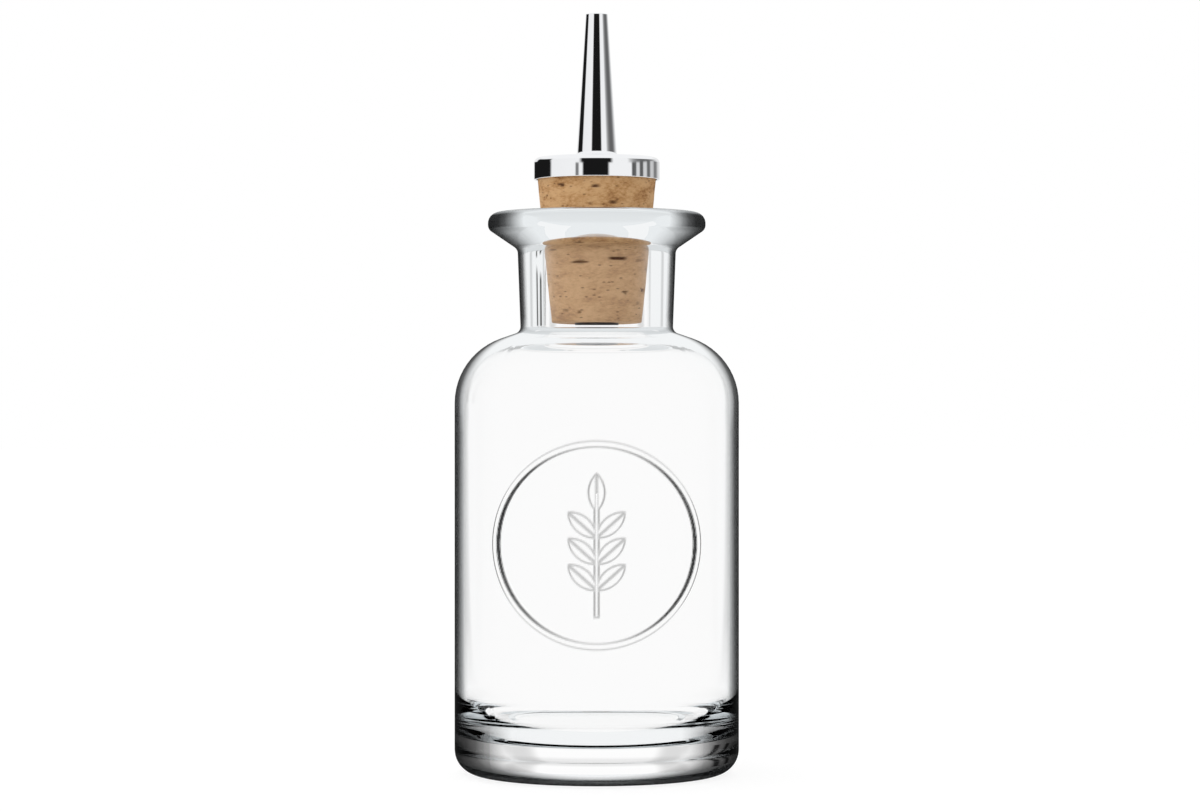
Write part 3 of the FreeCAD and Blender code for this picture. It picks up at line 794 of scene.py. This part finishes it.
def medallion_relief(x, z, sizes):
    """Share of the full relief at a point of the front seen straight on, and its flank's painted
    shade.

    Both run from 0 to 1.
    """
    up = z - sizes.medallion_height
    middle = sizes.medallion_radius - sizes.medallion_band / 2.0
    reach = math.hypot(x, up)
    height = swell(abs(reach - middle) - sizes.medallion_band / 2.0, RELIEF_SOFT)
    shade_weight = SPRIG_FLANK_SHADE
    if height > 0.0:
        least, most = RING_FLANK_SHADE
        shade_weight = least + (most - least) * (x / reach) ** 2 * (reach < middle)
    foot = -sizes.sprig_height / 2.0
    top_foot = -foot - sizes.leaf_length
    if foot - RELIEF_MARGIN < up < -foot + RELIEF_MARGIN:
        past_top = up - top_foot - sizes.leaf_length / 2.0
        stalk = max(abs(x) - sizes.stalk_width / 2.0, foot - up, past_top)
        height = max(height, swell(stalk, RELIEF_SOFT))
        leaves = [(top_foot, 0.0)]
        for pair in range(1, sizes.leaf_pairs + 1):
            pair_foot = top_foot - pair * sizes.leaf_step
            leaves += [(pair_foot, sizes.leaf_lean), (pair_foot, -sizes.leaf_lean)]
        for leaf_foot, lean in leaves:
            distance, across = leaf_distance(x, up, leaf_foot, lean, sizes)
            vein = VEIN_SHARE * math.exp(-((across / VEIN_HALF_WIDTH) ** 2))
            height = max(height, swell(distance, RELIEF_SOFT) * (1.0 - vein))
    # The flank is at its steepest half way up, and its painted shade is darkest there.
    return height, min(1.0, shade_weight * 4.0 * height * (1.0 - height))


def turn_bottle(bm):
    """Turns the bottle's section in two sweeps: fine columns in front, wider ones at the back."""
    start = Matrix.Rotation(FRONT_MIDDLE - FRONT_HALF_ANGLE, 3, "Z")
    bmesh.ops.rotate(bm, verts=bm.verts[:], cent=(0.0, 0.0, 0.0), matrix=start)
    front = 2.0 * FRONT_HALF_ANGLE
    section = bm.verts[:] + bm.edges[:]
    for angle, columns in ((front, FRONT_COLUMNS), (math.tau - front, BACK_COLUMNS)):
        section = sweep(bm, section, angle, columns)


class BITTERS_OT_bottle(bpy.types.Operator):
    """Turn the glass bottle and raise the medallion on its front"""

    bl_idname = "bitters.bottle"
    bl_label = "Glass bottle"
    bl_options = {"REGISTER", "UNDO"}

    def execute(self, context):
        settings = context.scene.bitters
        sizes = settings.bottle
        corners, panel_low, first_inside = bottle_corners(sizes)
        bm = bmesh.new()
        inner = bm.verts.layers.int.new("inner")
        counts = draw_section(bm, corners, closed=False, guard=ARC_GUARD)
        bm.verts.ensure_lookup_table()
        for vertex in bm.verts[counts[first_inside]:]:
            vertex[inner] = 1
        low, high = bm.verts[counts[panel_low]], bm.verts[counts[panel_low + 1]]
        panel = next(edge for edge in low.link_edges if edge.other_vert(low) == high)
        rows = round((high.co.z - low.co.z) / RELIEF_ROW)
        bmesh.ops.subdivide_edges(bm, edges=[panel], cuts=rows - 1)
        turn_bottle(bm)
        close_surface(bm)
        for face in bm.faces:
            face.material_index = int(all(vertex[inner] for vertex in face.verts))
        # Painted shade for the relief's flanks, kept on each vertex.
        flank_shade = bm.verts.layers.float.new("flank_shade")
        for vertex in bm.verts:
            if vertex[inner] or vertex.co.y > 0.0:
                continue
            radius = math.hypot(vertex.co.x, vertex.co.y)
            if abs(radius - sizes.body_radius) < WELD:
                share, vertex[flank_shade] = medallion_relief(vertex.co.x, vertex.co.z, sizes)
                raised = radius + sizes.relief * share
                vertex.co.x *= raised / radius
                vertex.co.y *= raised / radius
        materials = [
            make_glass("pressed_flint_glass", settings.finishes, outside=True),
            make_glass("fire_polished_bore", settings.finishes, outside=False),
        ]
        make_piece("bottle_glass", bm, materials, "bottle", "glass_bottle")
        return {"FINISHED"}


# The cork

CORK_COLUMNS = 240
CORK_ROW = 0.36 * MM
# What lies beyond this share of the lower radius is the cork's side.
SIDE_SHARE = 0.99
# The side's soft unevenness.
RIPPLE_DEPTH = 0.04 * MM
RIPPLE_MM = 2.0
# The two long pits on the front: degrees from the front, height, half length and half width.
FRONT_PITS = (
    (-17.0, 125.4, 2.3, 0.42),
    (21.0, 126.3, 2.6, 0.46),
)
# The other pits, and the ranges of their half lengths, half widths and shares of the full depth.
PIT_COUNT = 70
PIT_SEED = 11
PIT_HALF_LENGTHS = (0.5, 1.5)
PIT_HALF_WIDTHS = (0.25, 0.5)
PIT_SHARES = (0.25, 0.8)
# The bark in a pit is at its darkest before the pit is at its deepest.
PIT_STAIN = 1.6


def cork_pits():
    """The cork's pits: angle from the front, height, half length, half width and share of depth."""
    draw = random.Random(PIT_SEED)
    pits = [
        (math.radians(angle), height * MM, half_length * MM, half_width * MM, 1.0)
        for angle, height, half_length, half_width in FRONT_PITS
    ]
    for _ in range(PIT_COUNT):
        pits.append((
            draw.uniform(-math.pi, math.pi),
            draw.uniform(CORK_LOW, CORK_TOP),
            draw.uniform(*PIT_HALF_LENGTHS) * MM,
            draw.uniform(*PIT_HALF_WIDTHS) * MM,
            draw.uniform(*PIT_SHARES),
        ))
    return pits


def pit_share(angle, radius, height, pits):
    """Share of the full pit depth at a point of the cork's side."""
    deepest = 0.0
    for pit_angle, pit_height, half_length, half_width, share in pits:
        rise = (height - pit_height) / half_width
        if abs(rise) > 1.0:
            continue
        turn = (angle - pit_angle + math.pi) % math.tau - math.pi
        reach = (turn * radius / half_length) ** 2 + rise ** 2
        if reach < 1.0:
            deepest = max(deepest, share * (1.0 - reach))
    return deepest


class BITTERS_OT_cork(bpy.types.Operator):
    """Turn the tapered cork and press pits into its side"""

    bl_idname = "bitters.cork"
    bl_label = "Cork"
    bl_options = {"REGISTER", "UNDO"}

    def execute(self, context):
        settings = context.scene.bitters
        sizes = settings.stopper
        side = sizes.cork_bottom_radius * SIDE_SHARE
        corners = [
            (sizes.cork_bore, CORK_LOW, 0.0),
            (sizes.cork_bottom_radius, CORK_LOW, sizes.cork_edge_round),
            (sizes.cork_top_radius, CAP_LOW, 0.0),
            (sizes.cork_top_radius, CORK_TOP, 0.0),
            (sizes.cork_bore, CORK_TOP, 0.0),
        ]
        bm = bmesh.new()
        draw_section(bm, corners, closed=True)
        for edge in [item for item in bm.edges if min(v.co.x for v in item.verts) > side]:
            rows = round(edge.calc_length() / CORK_ROW)
            if rows > 1:
                bmesh.ops.subdivide_edges(bm, edges=[edge], cuts=rows - 1)
        turn_section(bm, CORK_COLUMNS)
        close_surface(bm)
        pit = bm.verts.layers.float.new("pit")
        pits = cork_pits()
        for vertex in bm.verts:
            radius = math.hypot(vertex.co.x, vertex.co.y)
            if radius < side:
                continue
            angle = math.atan2(vertex.co.x, -vertex.co.y)
            share = pit_share(angle, radius, vertex.co.z, pits)
            ripple = RIPPLE_DEPTH * (1.0 + noise.noise(vertex.co * per_mm(RIPPLE_MM)))
            sunk = radius - sizes.pit_depth * share - ripple
            vertex[pit] = min(1.0, PIT_STAIN * share)
            vertex.co.x *= sunk / radius
            vertex.co.y *= sunk / radius
        materials = [make_natural_cork(settings.finishes)]
        make_piece("stopper_cork", bm, materials, "cork", "cork_stopper")
        return {"FINISHED"}


# Chromed cap and spout

METAL_COLUMNS = 160


class BITTERS_OT_cap(bpy.types.Operator):
    """Turn the pressed metal cap"""

    bl_idname = "bitters.cap"
    bl_label = "Cap"
    bl_options = {"REGISTER", "UNDO"}

    def execute(self, context):
        settings = context.scene.bitters
        sizes = settings.stopper
        inner = sizes.cap_radius - sizes.cap_sheet
        underside = CAP_TOP - sizes.cap_sheet
        corners = [
            (sizes.thread_bore, underside, 0.0),
            (inner, underside, sizes.cap_edge_round - sizes.cap_sheet),
            (inner, CAP_LOW, sizes.cap_rim_round),
            (sizes.cap_radius, CAP_LOW, sizes.cap_rim_round),
            (sizes.cap_radius, CAP_TOP, sizes.cap_edge_round),
            (sizes.thread_bore, CAP_TOP, 0.0),
        ]
        make_piece(
            "stopper_cap", turned_mesh(corners, METAL_COLUMNS),
            [make_chrome("chrome_cap_plate", settings.finishes)],
            "dasher", "cap_shell",
        )
        return {"FINISHED"}


class BITTERS_OT_spout(bpy.types.Operator):
    """Turn the tapered spout with its foot and shank"""

    bl_idname = "bitters.spout"
    bl_label = "Spout"
    bl_options = {"REGISTER", "UNDO"}

    def execute(self, context):
        settings = context.scene.bitters
        sizes = settings.stopper
        foot_top = CAP_TOP + sizes.spout_foot_height
        corners = [
            (sizes.shank_bore, SPOUT_LOW, 0.0),
            (sizes.shank_radius, SPOUT_LOW, 0.0),
            (sizes.shank_radius, CAP_TOP, 0.0),
            (sizes.spout_foot_radius, CAP_TOP, 0.0),
            (sizes.spout_foot_radius, foot_top, 0.0),
            (sizes.spout_root_radius, foot_top, sizes.spout_foot_fillet),
            (sizes.spout_tip_radius, SPOUT_TOP, sizes.spout_tip_round),
            (sizes.spout_tip_bore, SPOUT_TOP, sizes.spout_tip_round),
        ]
        make_piece(
            "dasher_tube", turned_mesh(corners, METAL_COLUMNS),
            [make_chrome("chrome_spout_plate", settings.finishes)],
            "dasher", "dasher_spout",
        )
        return {"FINISHED"}


# Plastic and rubber fittings inside the cork

FITTING_COLUMNS = 96
# Rounding of the edges of the liner and the seal.
RUBBER_ROUND = 0.15 * MM


class BITTERS_OT_stem(bpy.types.Operator):
    """Turn the stem that lines the cork and the insert in its lower end"""

    bl_idname = "bitters.stem"
    bl_label = "Stem and insert"
    bl_options = {"REGISTER", "UNDO"}

    def execute(self, context):
        finishes = context.scene.bitters.finishes
        sizes = context.scene.bitters.stopper
        underside = CAP_TOP - sizes.cap_sheet
        seal_low = SPOUT_LOW - sizes.seal_thickness
        stem_low = CORK_LOW + sizes.insert_flange
        insert_top = stem_low + sizes.insert_length
        insert_bore = sizes.insert_radius + sizes.insert_clearance
        stem = [
            (insert_bore, stem_low, 0.0),
            (sizes.stem_radius, stem_low, 0.0),
            (sizes.stem_radius, CORK_TOP, 0.0),
            (sizes.stem_flange, CORK_TOP, 0.0),
            (sizes.stem_flange, underside, 0.0),
            (sizes.thread_bore, underside, 0.0),
            (sizes.thread_bore, seal_low, 0.0),
            (sizes.stem_bore, seal_low, 0.0),
            (sizes.stem_bore, insert_top, 0.0),
            (insert_bore, insert_top, 0.0),
        ]
        insert = [
            (sizes.orifice_radius, INSERT_LOW, 0.0),
            (sizes.stem_radius, INSERT_LOW, sizes.insert_round),
            (sizes.stem_radius, stem_low, 0.0),
            (sizes.insert_radius, stem_low, 0.0),
            (sizes.insert_radius, insert_top, 0.0),
            (sizes.funnel_radius, insert_top, 0.0),
            (sizes.orifice_radius, insert_top - sizes.funnel_depth, 0.0),
        ]
        pale = make_polymer(
            "moulded_polyethylene", finishes.stem_plastic,
            roughness=0.42, mottle_mm=5.0, depth=0.05,
        )
        black = make_polymer(
            "black_polyethylene", finishes.insert_plastic,
            roughness=0.38, mottle_mm=4.0, depth=0.2,
        )
        make_piece(
            "dasher_stem", turned_mesh(stem, FITTING_COLUMNS), [pale],
            "dasher", "stem_tube",
        )
        make_piece(
            "dasher_plug", turned_mesh(insert, FITTING_COLUMNS), [black],
            "dasher", "dasher_insert",
        )
        return {"FINISHED"}


class BITTERS_OT_rings(bpy.types.Operator):
    """Turn the silicone liner under the cap and the seal under the shank"""

    bl_idname = "bitters.rings"
    bl_label = "Liner and seal"
    bl_options = {"REGISTER", "UNDO"}

    def execute(self, context):
        finishes = context.scene.bitters.finishes
        sizes = context.scene.bitters.stopper
        underside = CAP_TOP - sizes.cap_sheet
        seal_low = SPOUT_LOW - sizes.seal_thickness
        rubber = make_polymer(
            "pale_silicone", finishes.silicone, roughness=0.6, mottle_mm=3.0, depth=0.06,
        )
        liner = (sizes.liner_bore, sizes.liner_radius, CORK_TOP, underside)
        seal = (sizes.seal_bore, sizes.shank_radius, seal_low, SPOUT_LOW)
        for name, body, node, (bore, radius, low, high) in (
            ("cap_washer", "liner", "cap_liner", liner),
            ("shank_washer", "dasher", "spout_seal", seal),
        ):
            corners = [
                (bore, low, RUBBER_ROUND),
                (radius, low, RUBBER_ROUND),
                (radius, high, RUBBER_ROUND),
                (bore, high, RUBBER_ROUND),
            ]
            bm = turned_mesh(corners, FITTING_COLUMNS)
            make_piece(name, bm, [rubber], body, node)
        return {"FINISHED"}


# Studio

# What polished metal sees round the horizon, as degrees from the camera to its right, and levels:
# a dark camera side, white panels, a dark flag on the left and slats on the right.
MIRROR_PANELS = (
    (-180.0, 0.85), (-164.0, 0.85), (-161.0, 0.01), (-95.0, 0.01), (-90.0, 0.95), (-40.0, 0.98),
    (-38.0, 0.22), (-34.0, 0.22), (-32.0, 0.98), (-27.0, 0.98), (-24.0, 0.01), (20.0, 0.01),
    (24.0, 0.98), (66.0, 0.98), (69.0, 0.10), (76.0, 0.14), (79.0, 0.75), (84.0, 0.75),
    (87.0, 0.12), (93.0, 0.12), (96.0, 0.70), (103.0, 0.70), (107.0, 0.16), (113.0, 0.16),
    (118.0, 0.65), (126.0, 0.60), (132.0, 0.20), (140.0, 0.25), (152.0, 0.75), (180.0, 0.85),
)
# What it sees a little higher: the same without the slats, which a grey panel stands above.
UPPER_PANELS = (
    (-180.0, 0.90), (-146.0, 0.90), (-138.0, 0.01), (-96.0, 0.01), (-90.0, 0.95), (-33.0, 0.98),
    (-27.0, 0.01), (25.0, 0.01), (31.0, 0.98), (58.0, 0.98), (64.0, 0.60), (72.0, 0.34),
    (80.0, 0.21), (90.0, 0.14), (108.0, 0.14), (120.0, 0.26), (134.0, 0.55), (150.0, 0.85),
    (180.0, 0.90),
)
# What glass sees of two dark stands behind it on the left.
STANDS = (
    (-138.5, 1.0), (-136.5, 0.12), (-133.5, 0.12), (-131.5, 1.0), (-127.5, 1.0), (-125.5, 0.08),
    (-122.5, 0.08), (-120.5, 1.0),
)
# Heights in the studio, as sines of the angle above the horizon: where the upper panels begin,
# where all panels end in white, and where the stands begin.
UPPER_START = (0.096, 0.106)
PANEL_TOP = (0.30, 0.45)
STAND_FOOT = (0.016, 0.026)
# What glass sees at such heights: white screens, a grey gap and the white above it.
SCREEN_TOP = ((0.22, grey(1.0)), (0.32, grey(0.85)), (0.44, grey(0.85)), (0.56, grey(1.0)))
# The screens all round: their number, the cosine of their turn at which they end, and the level of
# the gaps between them.
SCREEN_COUNT = 8.0
SCREEN_END = -0.55
GAP_LEVEL = 0.72
# The soft light on cork, plastic and floor: its level, and how much more of it comes from the left
# and from above.
SOFT_LEVEL = 0.92
SOFT_FROM_LEFT = 0.42
SOFT_FROM_ABOVE = 0.12
# Depths of light are whole numbers, so this lies between none and one.
ANY_DEPTH = 0.5
# The floor where the camera sees it: its even glow, and the share of its light that shadow takes.
FLOOR_GLOW = 0.82
FLOOR_SHADED = 0.22
# The floor where metal sees it near by, and the distances between which near turns to far.
FLOOR_IN_METAL = 0.9
FLOOR_FAR = (200.0 * MM, 600.0 * MM)
# The camera's sensor in millimetres, and the nearest that it sees.
SENSOR_WIDTH = 36.0
CAMERA_NEAR = 10.0 * MM


def add_azimuth(tree, vector):
    """The angle round the Z axis of a direction or a place, from the camera's side to its right."""
    where = add_node(tree, "ShaderNodeSeparateXYZ", links={"Vector": vector})
    toward_camera = add_node(
        tree, "ShaderNodeMath", {1: -1.0}, {0: where.outputs["Y"]}, operation="MULTIPLY",
    )
    return add_node(
        tree, "ShaderNodeMath", links={0: where.outputs["X"], 1: toward_camera.outputs["Value"]},
        operation="ARCTAN2",
    ).outputs["Value"]


def add_ring(tree, azimuth, levels):
    """What stands round the bottle, as azimuths in degrees and levels."""
    share = add_node(
        tree, "ShaderNodeMapRange", {"From Min": -math.pi, "From Max": math.pi}, {"Value": azimuth},
    )
    return add_node(
        tree, "ShaderNodeValToRGB", links={"Fac": share.outputs["Result"]},
        stops=[((degrees + 180.0) / 360.0, grey(level)) for degrees, level in levels],
    ).outputs["Color"]


def add_screens(tree, azimuth):
    """White screens that stand all round, with grey gaps, for what is seen through glass."""
    turns = add_node(tree, "ShaderNodeMath", {1: SCREEN_COUNT}, {0: azimuth}, operation="MULTIPLY")
    wave = add_node(tree, "ShaderNodeMath", links={0: turns.outputs["Value"]}, operation="COSINE")
    return add_node(tree, "ShaderNodeMapRange", {
        "From Min": -1.0, "From Max": SCREEN_END, "To Min": GAP_LEVEL, "To Max": 1.0,
    }, {"Value": wave.outputs["Value"]}, interpolation_type="SMOOTHSTEP").outputs["Result"]


def make_world(studio):
    """Light from all round: white behind the object, panels in metal and screens in glass."""
    world = bpy.data.worlds.new("studio_light")
    world.use_nodes = True
    tree = world.node_tree
    tree.nodes.clear()
    path = add_node(tree, "ShaderNodeLightPath")
    direction = add_node(tree, "ShaderNodeTexCoord").outputs["Generated"]
    where = add_node(tree, "ShaderNodeSeparateXYZ", links={"Vector": direction})
    height = where.outputs["Z"]
    azimuth = add_azimuth(tree, direction)

    # Metal: the panels round the horizon, white from above.
    higher = add_node(
        tree, "ShaderNodeMapRange", {"From Min": UPPER_START[0], "From Max": UPPER_START[1]},
        {"Value": height},
    )
    panels = add_node(tree, "ShaderNodeMix", links={
        SHARE: higher.outputs["Result"],
        UNDER: add_ring(tree, azimuth, MIRROR_PANELS),
        OVER: add_ring(tree, azimuth, UPPER_PANELS),
    }, data_type="RGBA")
    overhead = add_node(
        tree, "ShaderNodeMapRange", {"From Min": PANEL_TOP[0], "From Max": PANEL_TOP[1]},
        {"Value": height}, interpolation_type="SMOOTHSTEP",
    )
    metal = add_node(
        tree, "ShaderNodeMix", {OVER: grey(1.0)},
        {SHARE: overhead.outputs["Result"], UNDER: panels.outputs[MIXED]}, data_type="RGBA",
    )

    # Glass: white screens all round behind the stands, with a grey gap under the white above.
    upward = add_node(tree, "ShaderNodeValToRGB", links={"Fac": height}, stops=SCREEN_TOP)
    stood = add_node(
        tree, "ShaderNodeMapRange", {"From Min": STAND_FOOT[0], "From Max": STAND_FOOT[1]},
        {"Value": height},
    )
    ring = add_node(tree, "ShaderNodeMix", links={
        SHARE: stood.outputs["Result"],
        UNDER: add_screens(tree, azimuth),
        OVER: add_ring(tree, azimuth, STANDS),
    }, data_type="RGBA", blend_type="MULTIPLY")
    glass = add_node(
        tree, "ShaderNodeMix", {SHARE: 1.0},
        {UNDER: upward.outputs["Color"], OVER: ring.outputs[MIXED]}, data_type="RGBA",
        blend_type="MULTIPLY",
    )

    # Cork, plastic and floor: soft light all round, a little more from above and from the left.
    from_left = add_node(
        tree, "ShaderNodeMath", {1: -SOFT_FROM_LEFT, 2: SOFT_LEVEL}, {0: where.outputs["X"]},
        operation="MULTIPLY_ADD",
    )
    soft = add_node(
        tree, "ShaderNodeMath", {1: SOFT_FROM_ABOVE}, {0: height, 2: from_left.outputs["Value"]},
        operation="MULTIPLY_ADD",
    )

    through, lit = (
        add_node(
            tree, "ShaderNodeMath", {1: ANY_DEPTH}, {0: path.outputs[depth]},
            operation="GREATER_THAN",
        ).outputs["Value"]
        for depth in ("Transmission Depth", "Diffuse Depth")
    )
    seen = metal.outputs[MIXED]
    for share, over in ((through, glass.outputs[MIXED]), (lit, soft.outputs["Value"])):
        seen = add_node(
            tree, "ShaderNodeMix", links={SHARE: share, UNDER: seen, OVER: over}, data_type="RGBA",
        ).outputs[MIXED]
    behind = add_node(
        tree, "ShaderNodeMix", {OVER: grey(1.0)},
        {SHARE: path.outputs["Is Camera Ray"], UNDER: seen}, data_type="RGBA",
    )
    light = add_node(
        tree, "ShaderNodeBackground", {"Strength": studio.light_level},
        {"Color": behind.outputs[MIXED]},
    )
    add_node(tree, "ShaderNodeOutputWorld", links={"Surface": light.outputs["Background"]})
    return world


def make_floor_material(finishes):
    """Matt white board: pale wherever it is seen, and still darker in the object's shadow."""
    material, tree = new_material("matt_white_board")
    path = add_node(tree, "ShaderNodeLightPath")

    # Seen straight: mostly an even glow.
    glow = add_node(tree, "ShaderNodeEmission", {"Color": grey(1.0), "Strength": FLOOR_GLOW})
    board = add_node(tree, "ShaderNodeBsdfDiffuse", {"Color": grey(FLOOR_SHADED)})
    both = add_node(
        tree, "ShaderNodeAddShader", links={0: glow.outputs["Emission"], 1: board.outputs["BSDF"]},
    )
    plain = add_node(tree, "ShaderNodeBsdfDiffuse", {"Color": finishes.floor})
    bare = add_node(tree, "ShaderNodeMixShader", links={
        0: path.outputs["Is Camera Ray"], 1: plain.outputs["BSDF"], 2: both.outputs["Shader"],
    })

    # Seen in metal: white near by, and the foot of the panels farther off.
    place = add_node(tree, "ShaderNodeTexCoord").outputs["Object"]
    azimuth = add_azimuth(tree, place)
    distance = add_node(tree, "ShaderNodeVectorMath", links={0: place}, operation="LENGTH")
    far = add_node(
        tree, "ShaderNodeMapRange", {"From Min": FLOOR_FAR[0], "From Max": FLOOR_FAR[1]},
        {"Value": distance.outputs["Value"]},
    )
    panels = add_node(
        tree, "ShaderNodeMix", {UNDER: grey(FLOOR_IN_METAL)},
        {SHARE: far.outputs["Result"], OVER: add_ring(tree, azimuth, MIRROR_PANELS)},
        data_type="RGBA",
    )
    mirrored = add_node(tree, "ShaderNodeEmission", links={"Color": panels.outputs[MIXED]})
    solid = add_node(tree, "ShaderNodeMixShader", links={
        0: path.outputs["Is Glossy Ray"],
        1: bare.outputs["Shader"],
        2: mirrored.outputs["Emission"],
    })

    # Seen through glass: white near by, and the foot of the screens farther off.
    screens = add_node(
        tree, "ShaderNodeMix", {UNDER: grey(1.0)},
        {SHARE: far.outputs["Result"], OVER: add_screens(tree, azimuth)}, data_type="RGBA",
    )
    refracted = add_node(tree, "ShaderNodeEmission", links={"Color": screens.outputs[MIXED]})
    through = add_node(
        tree, "ShaderNodeMath", {1: ANY_DEPTH}, {0: path.outputs["Transmission Depth"]},
        operation="GREATER_THAN",
    )
    surface = add_node(tree, "ShaderNodeMixShader", links={
        0: through.outputs["Value"], 1: solid.outputs["Shader"], 2: refracted.outputs["Emission"],
    })
    add_node(tree, "ShaderNodeOutputMaterial", links={"Surface": surface.outputs["Shader"]})
    return material


class BITTERS_OT_stage(bpy.types.Operator):
    """Set up the camera, the light and the floor"""

    bl_idname = "bitters.stage"
    bl_label = "Studio"
    bl_options = {"REGISTER", "UNDO"}

    def execute(self, context):
        scene = context.scene
        studio = scene.bitters.studio
        scene.view_settings.view_transform = "Standard"
        scene.world = make_world(studio)

        bm = bmesh.new()
        bmesh.ops.create_grid(bm, x_segments=1, y_segments=1, size=studio.floor_size / 2.0)
        bmesh.ops.translate(bm, verts=bm.verts[:], vec=(0.0, 0.0, -studio.floor_gap))
        mesh = bpy.data.meshes.new("floor")
        bm.to_mesh(mesh)
        bm.free()
        mesh.materials.append(make_floor_material(scene.bitters.finishes))
        floor = bpy.data.objects.new("floor", mesh)
        scene.collection.objects.link(floor)

        lens = bpy.data.cameras.new("camera")
        lens.lens = studio.lens
        lens.sensor_width = SENSOR_WIDTH
        lens.clip_start = CAMERA_NEAR
        camera = bpy.data.objects.new("camera", lens)
        camera.location = (studio.camera_side, -studio.camera_distance, studio.camera_height)
        camera.rotation_euler = (math.pi / 2.0, 0.0, 0.0)
        scene.collection.objects.link(camera)
        scene.camera = camera
        return {"FINISHED"}


class BITTERS_PT_panel(bpy.types.Panel):
    """Lists the steps that build the bottle"""

    bl_idname = "BITTERS_PT_panel"
    bl_label = "Bitters Bottle"
    bl_space_type = "VIEW_3D"
    bl_region_type = "UI"
    bl_category = "Bottle"

    def draw(self, context):
        for operator in OPERATORS:
            self.layout.operator(operator.bl_idname)


OPERATORS = (
    BITTERS_OT_stage,
    BITTERS_OT_bottle,
    BITTERS_OT_cork,
    BITTERS_OT_cap,
    BITTERS_OT_spout,
    BITTERS_OT_stem,
    BITTERS_OT_rings,
)
GROUPS = (BottleSizes, StopperSizes, Finishes, Studio, BottleSettings)
CLASSES = (*GROUPS, *OPERATORS, BITTERS_PT_panel)


def register():
    for item in CLASSES:
        bpy.utils.register_class(item)
    bpy.types.Scene.bitters = bpy.props.PointerProperty(
        type=BottleSettings, name="Bitters bottle",
        description="Settings of the bottle and its studio",
    )


def unregister():
    del bpy.types.Scene.bitters
    for item in reversed(CLASSES):
        bpy.utils.unregister_class(item)


def main():
    register()
    bpy.ops.bitters.stage()
    bpy.ops.bitters.bottle()
    bpy.ops.bitters.cork()
    bpy.ops.bitters.cap()
    bpy.ops.bitters.spout()
    bpy.ops.bitters.stem()
    bpy.ops.bitters.rings()


if __name__ == "__main__":
    main()
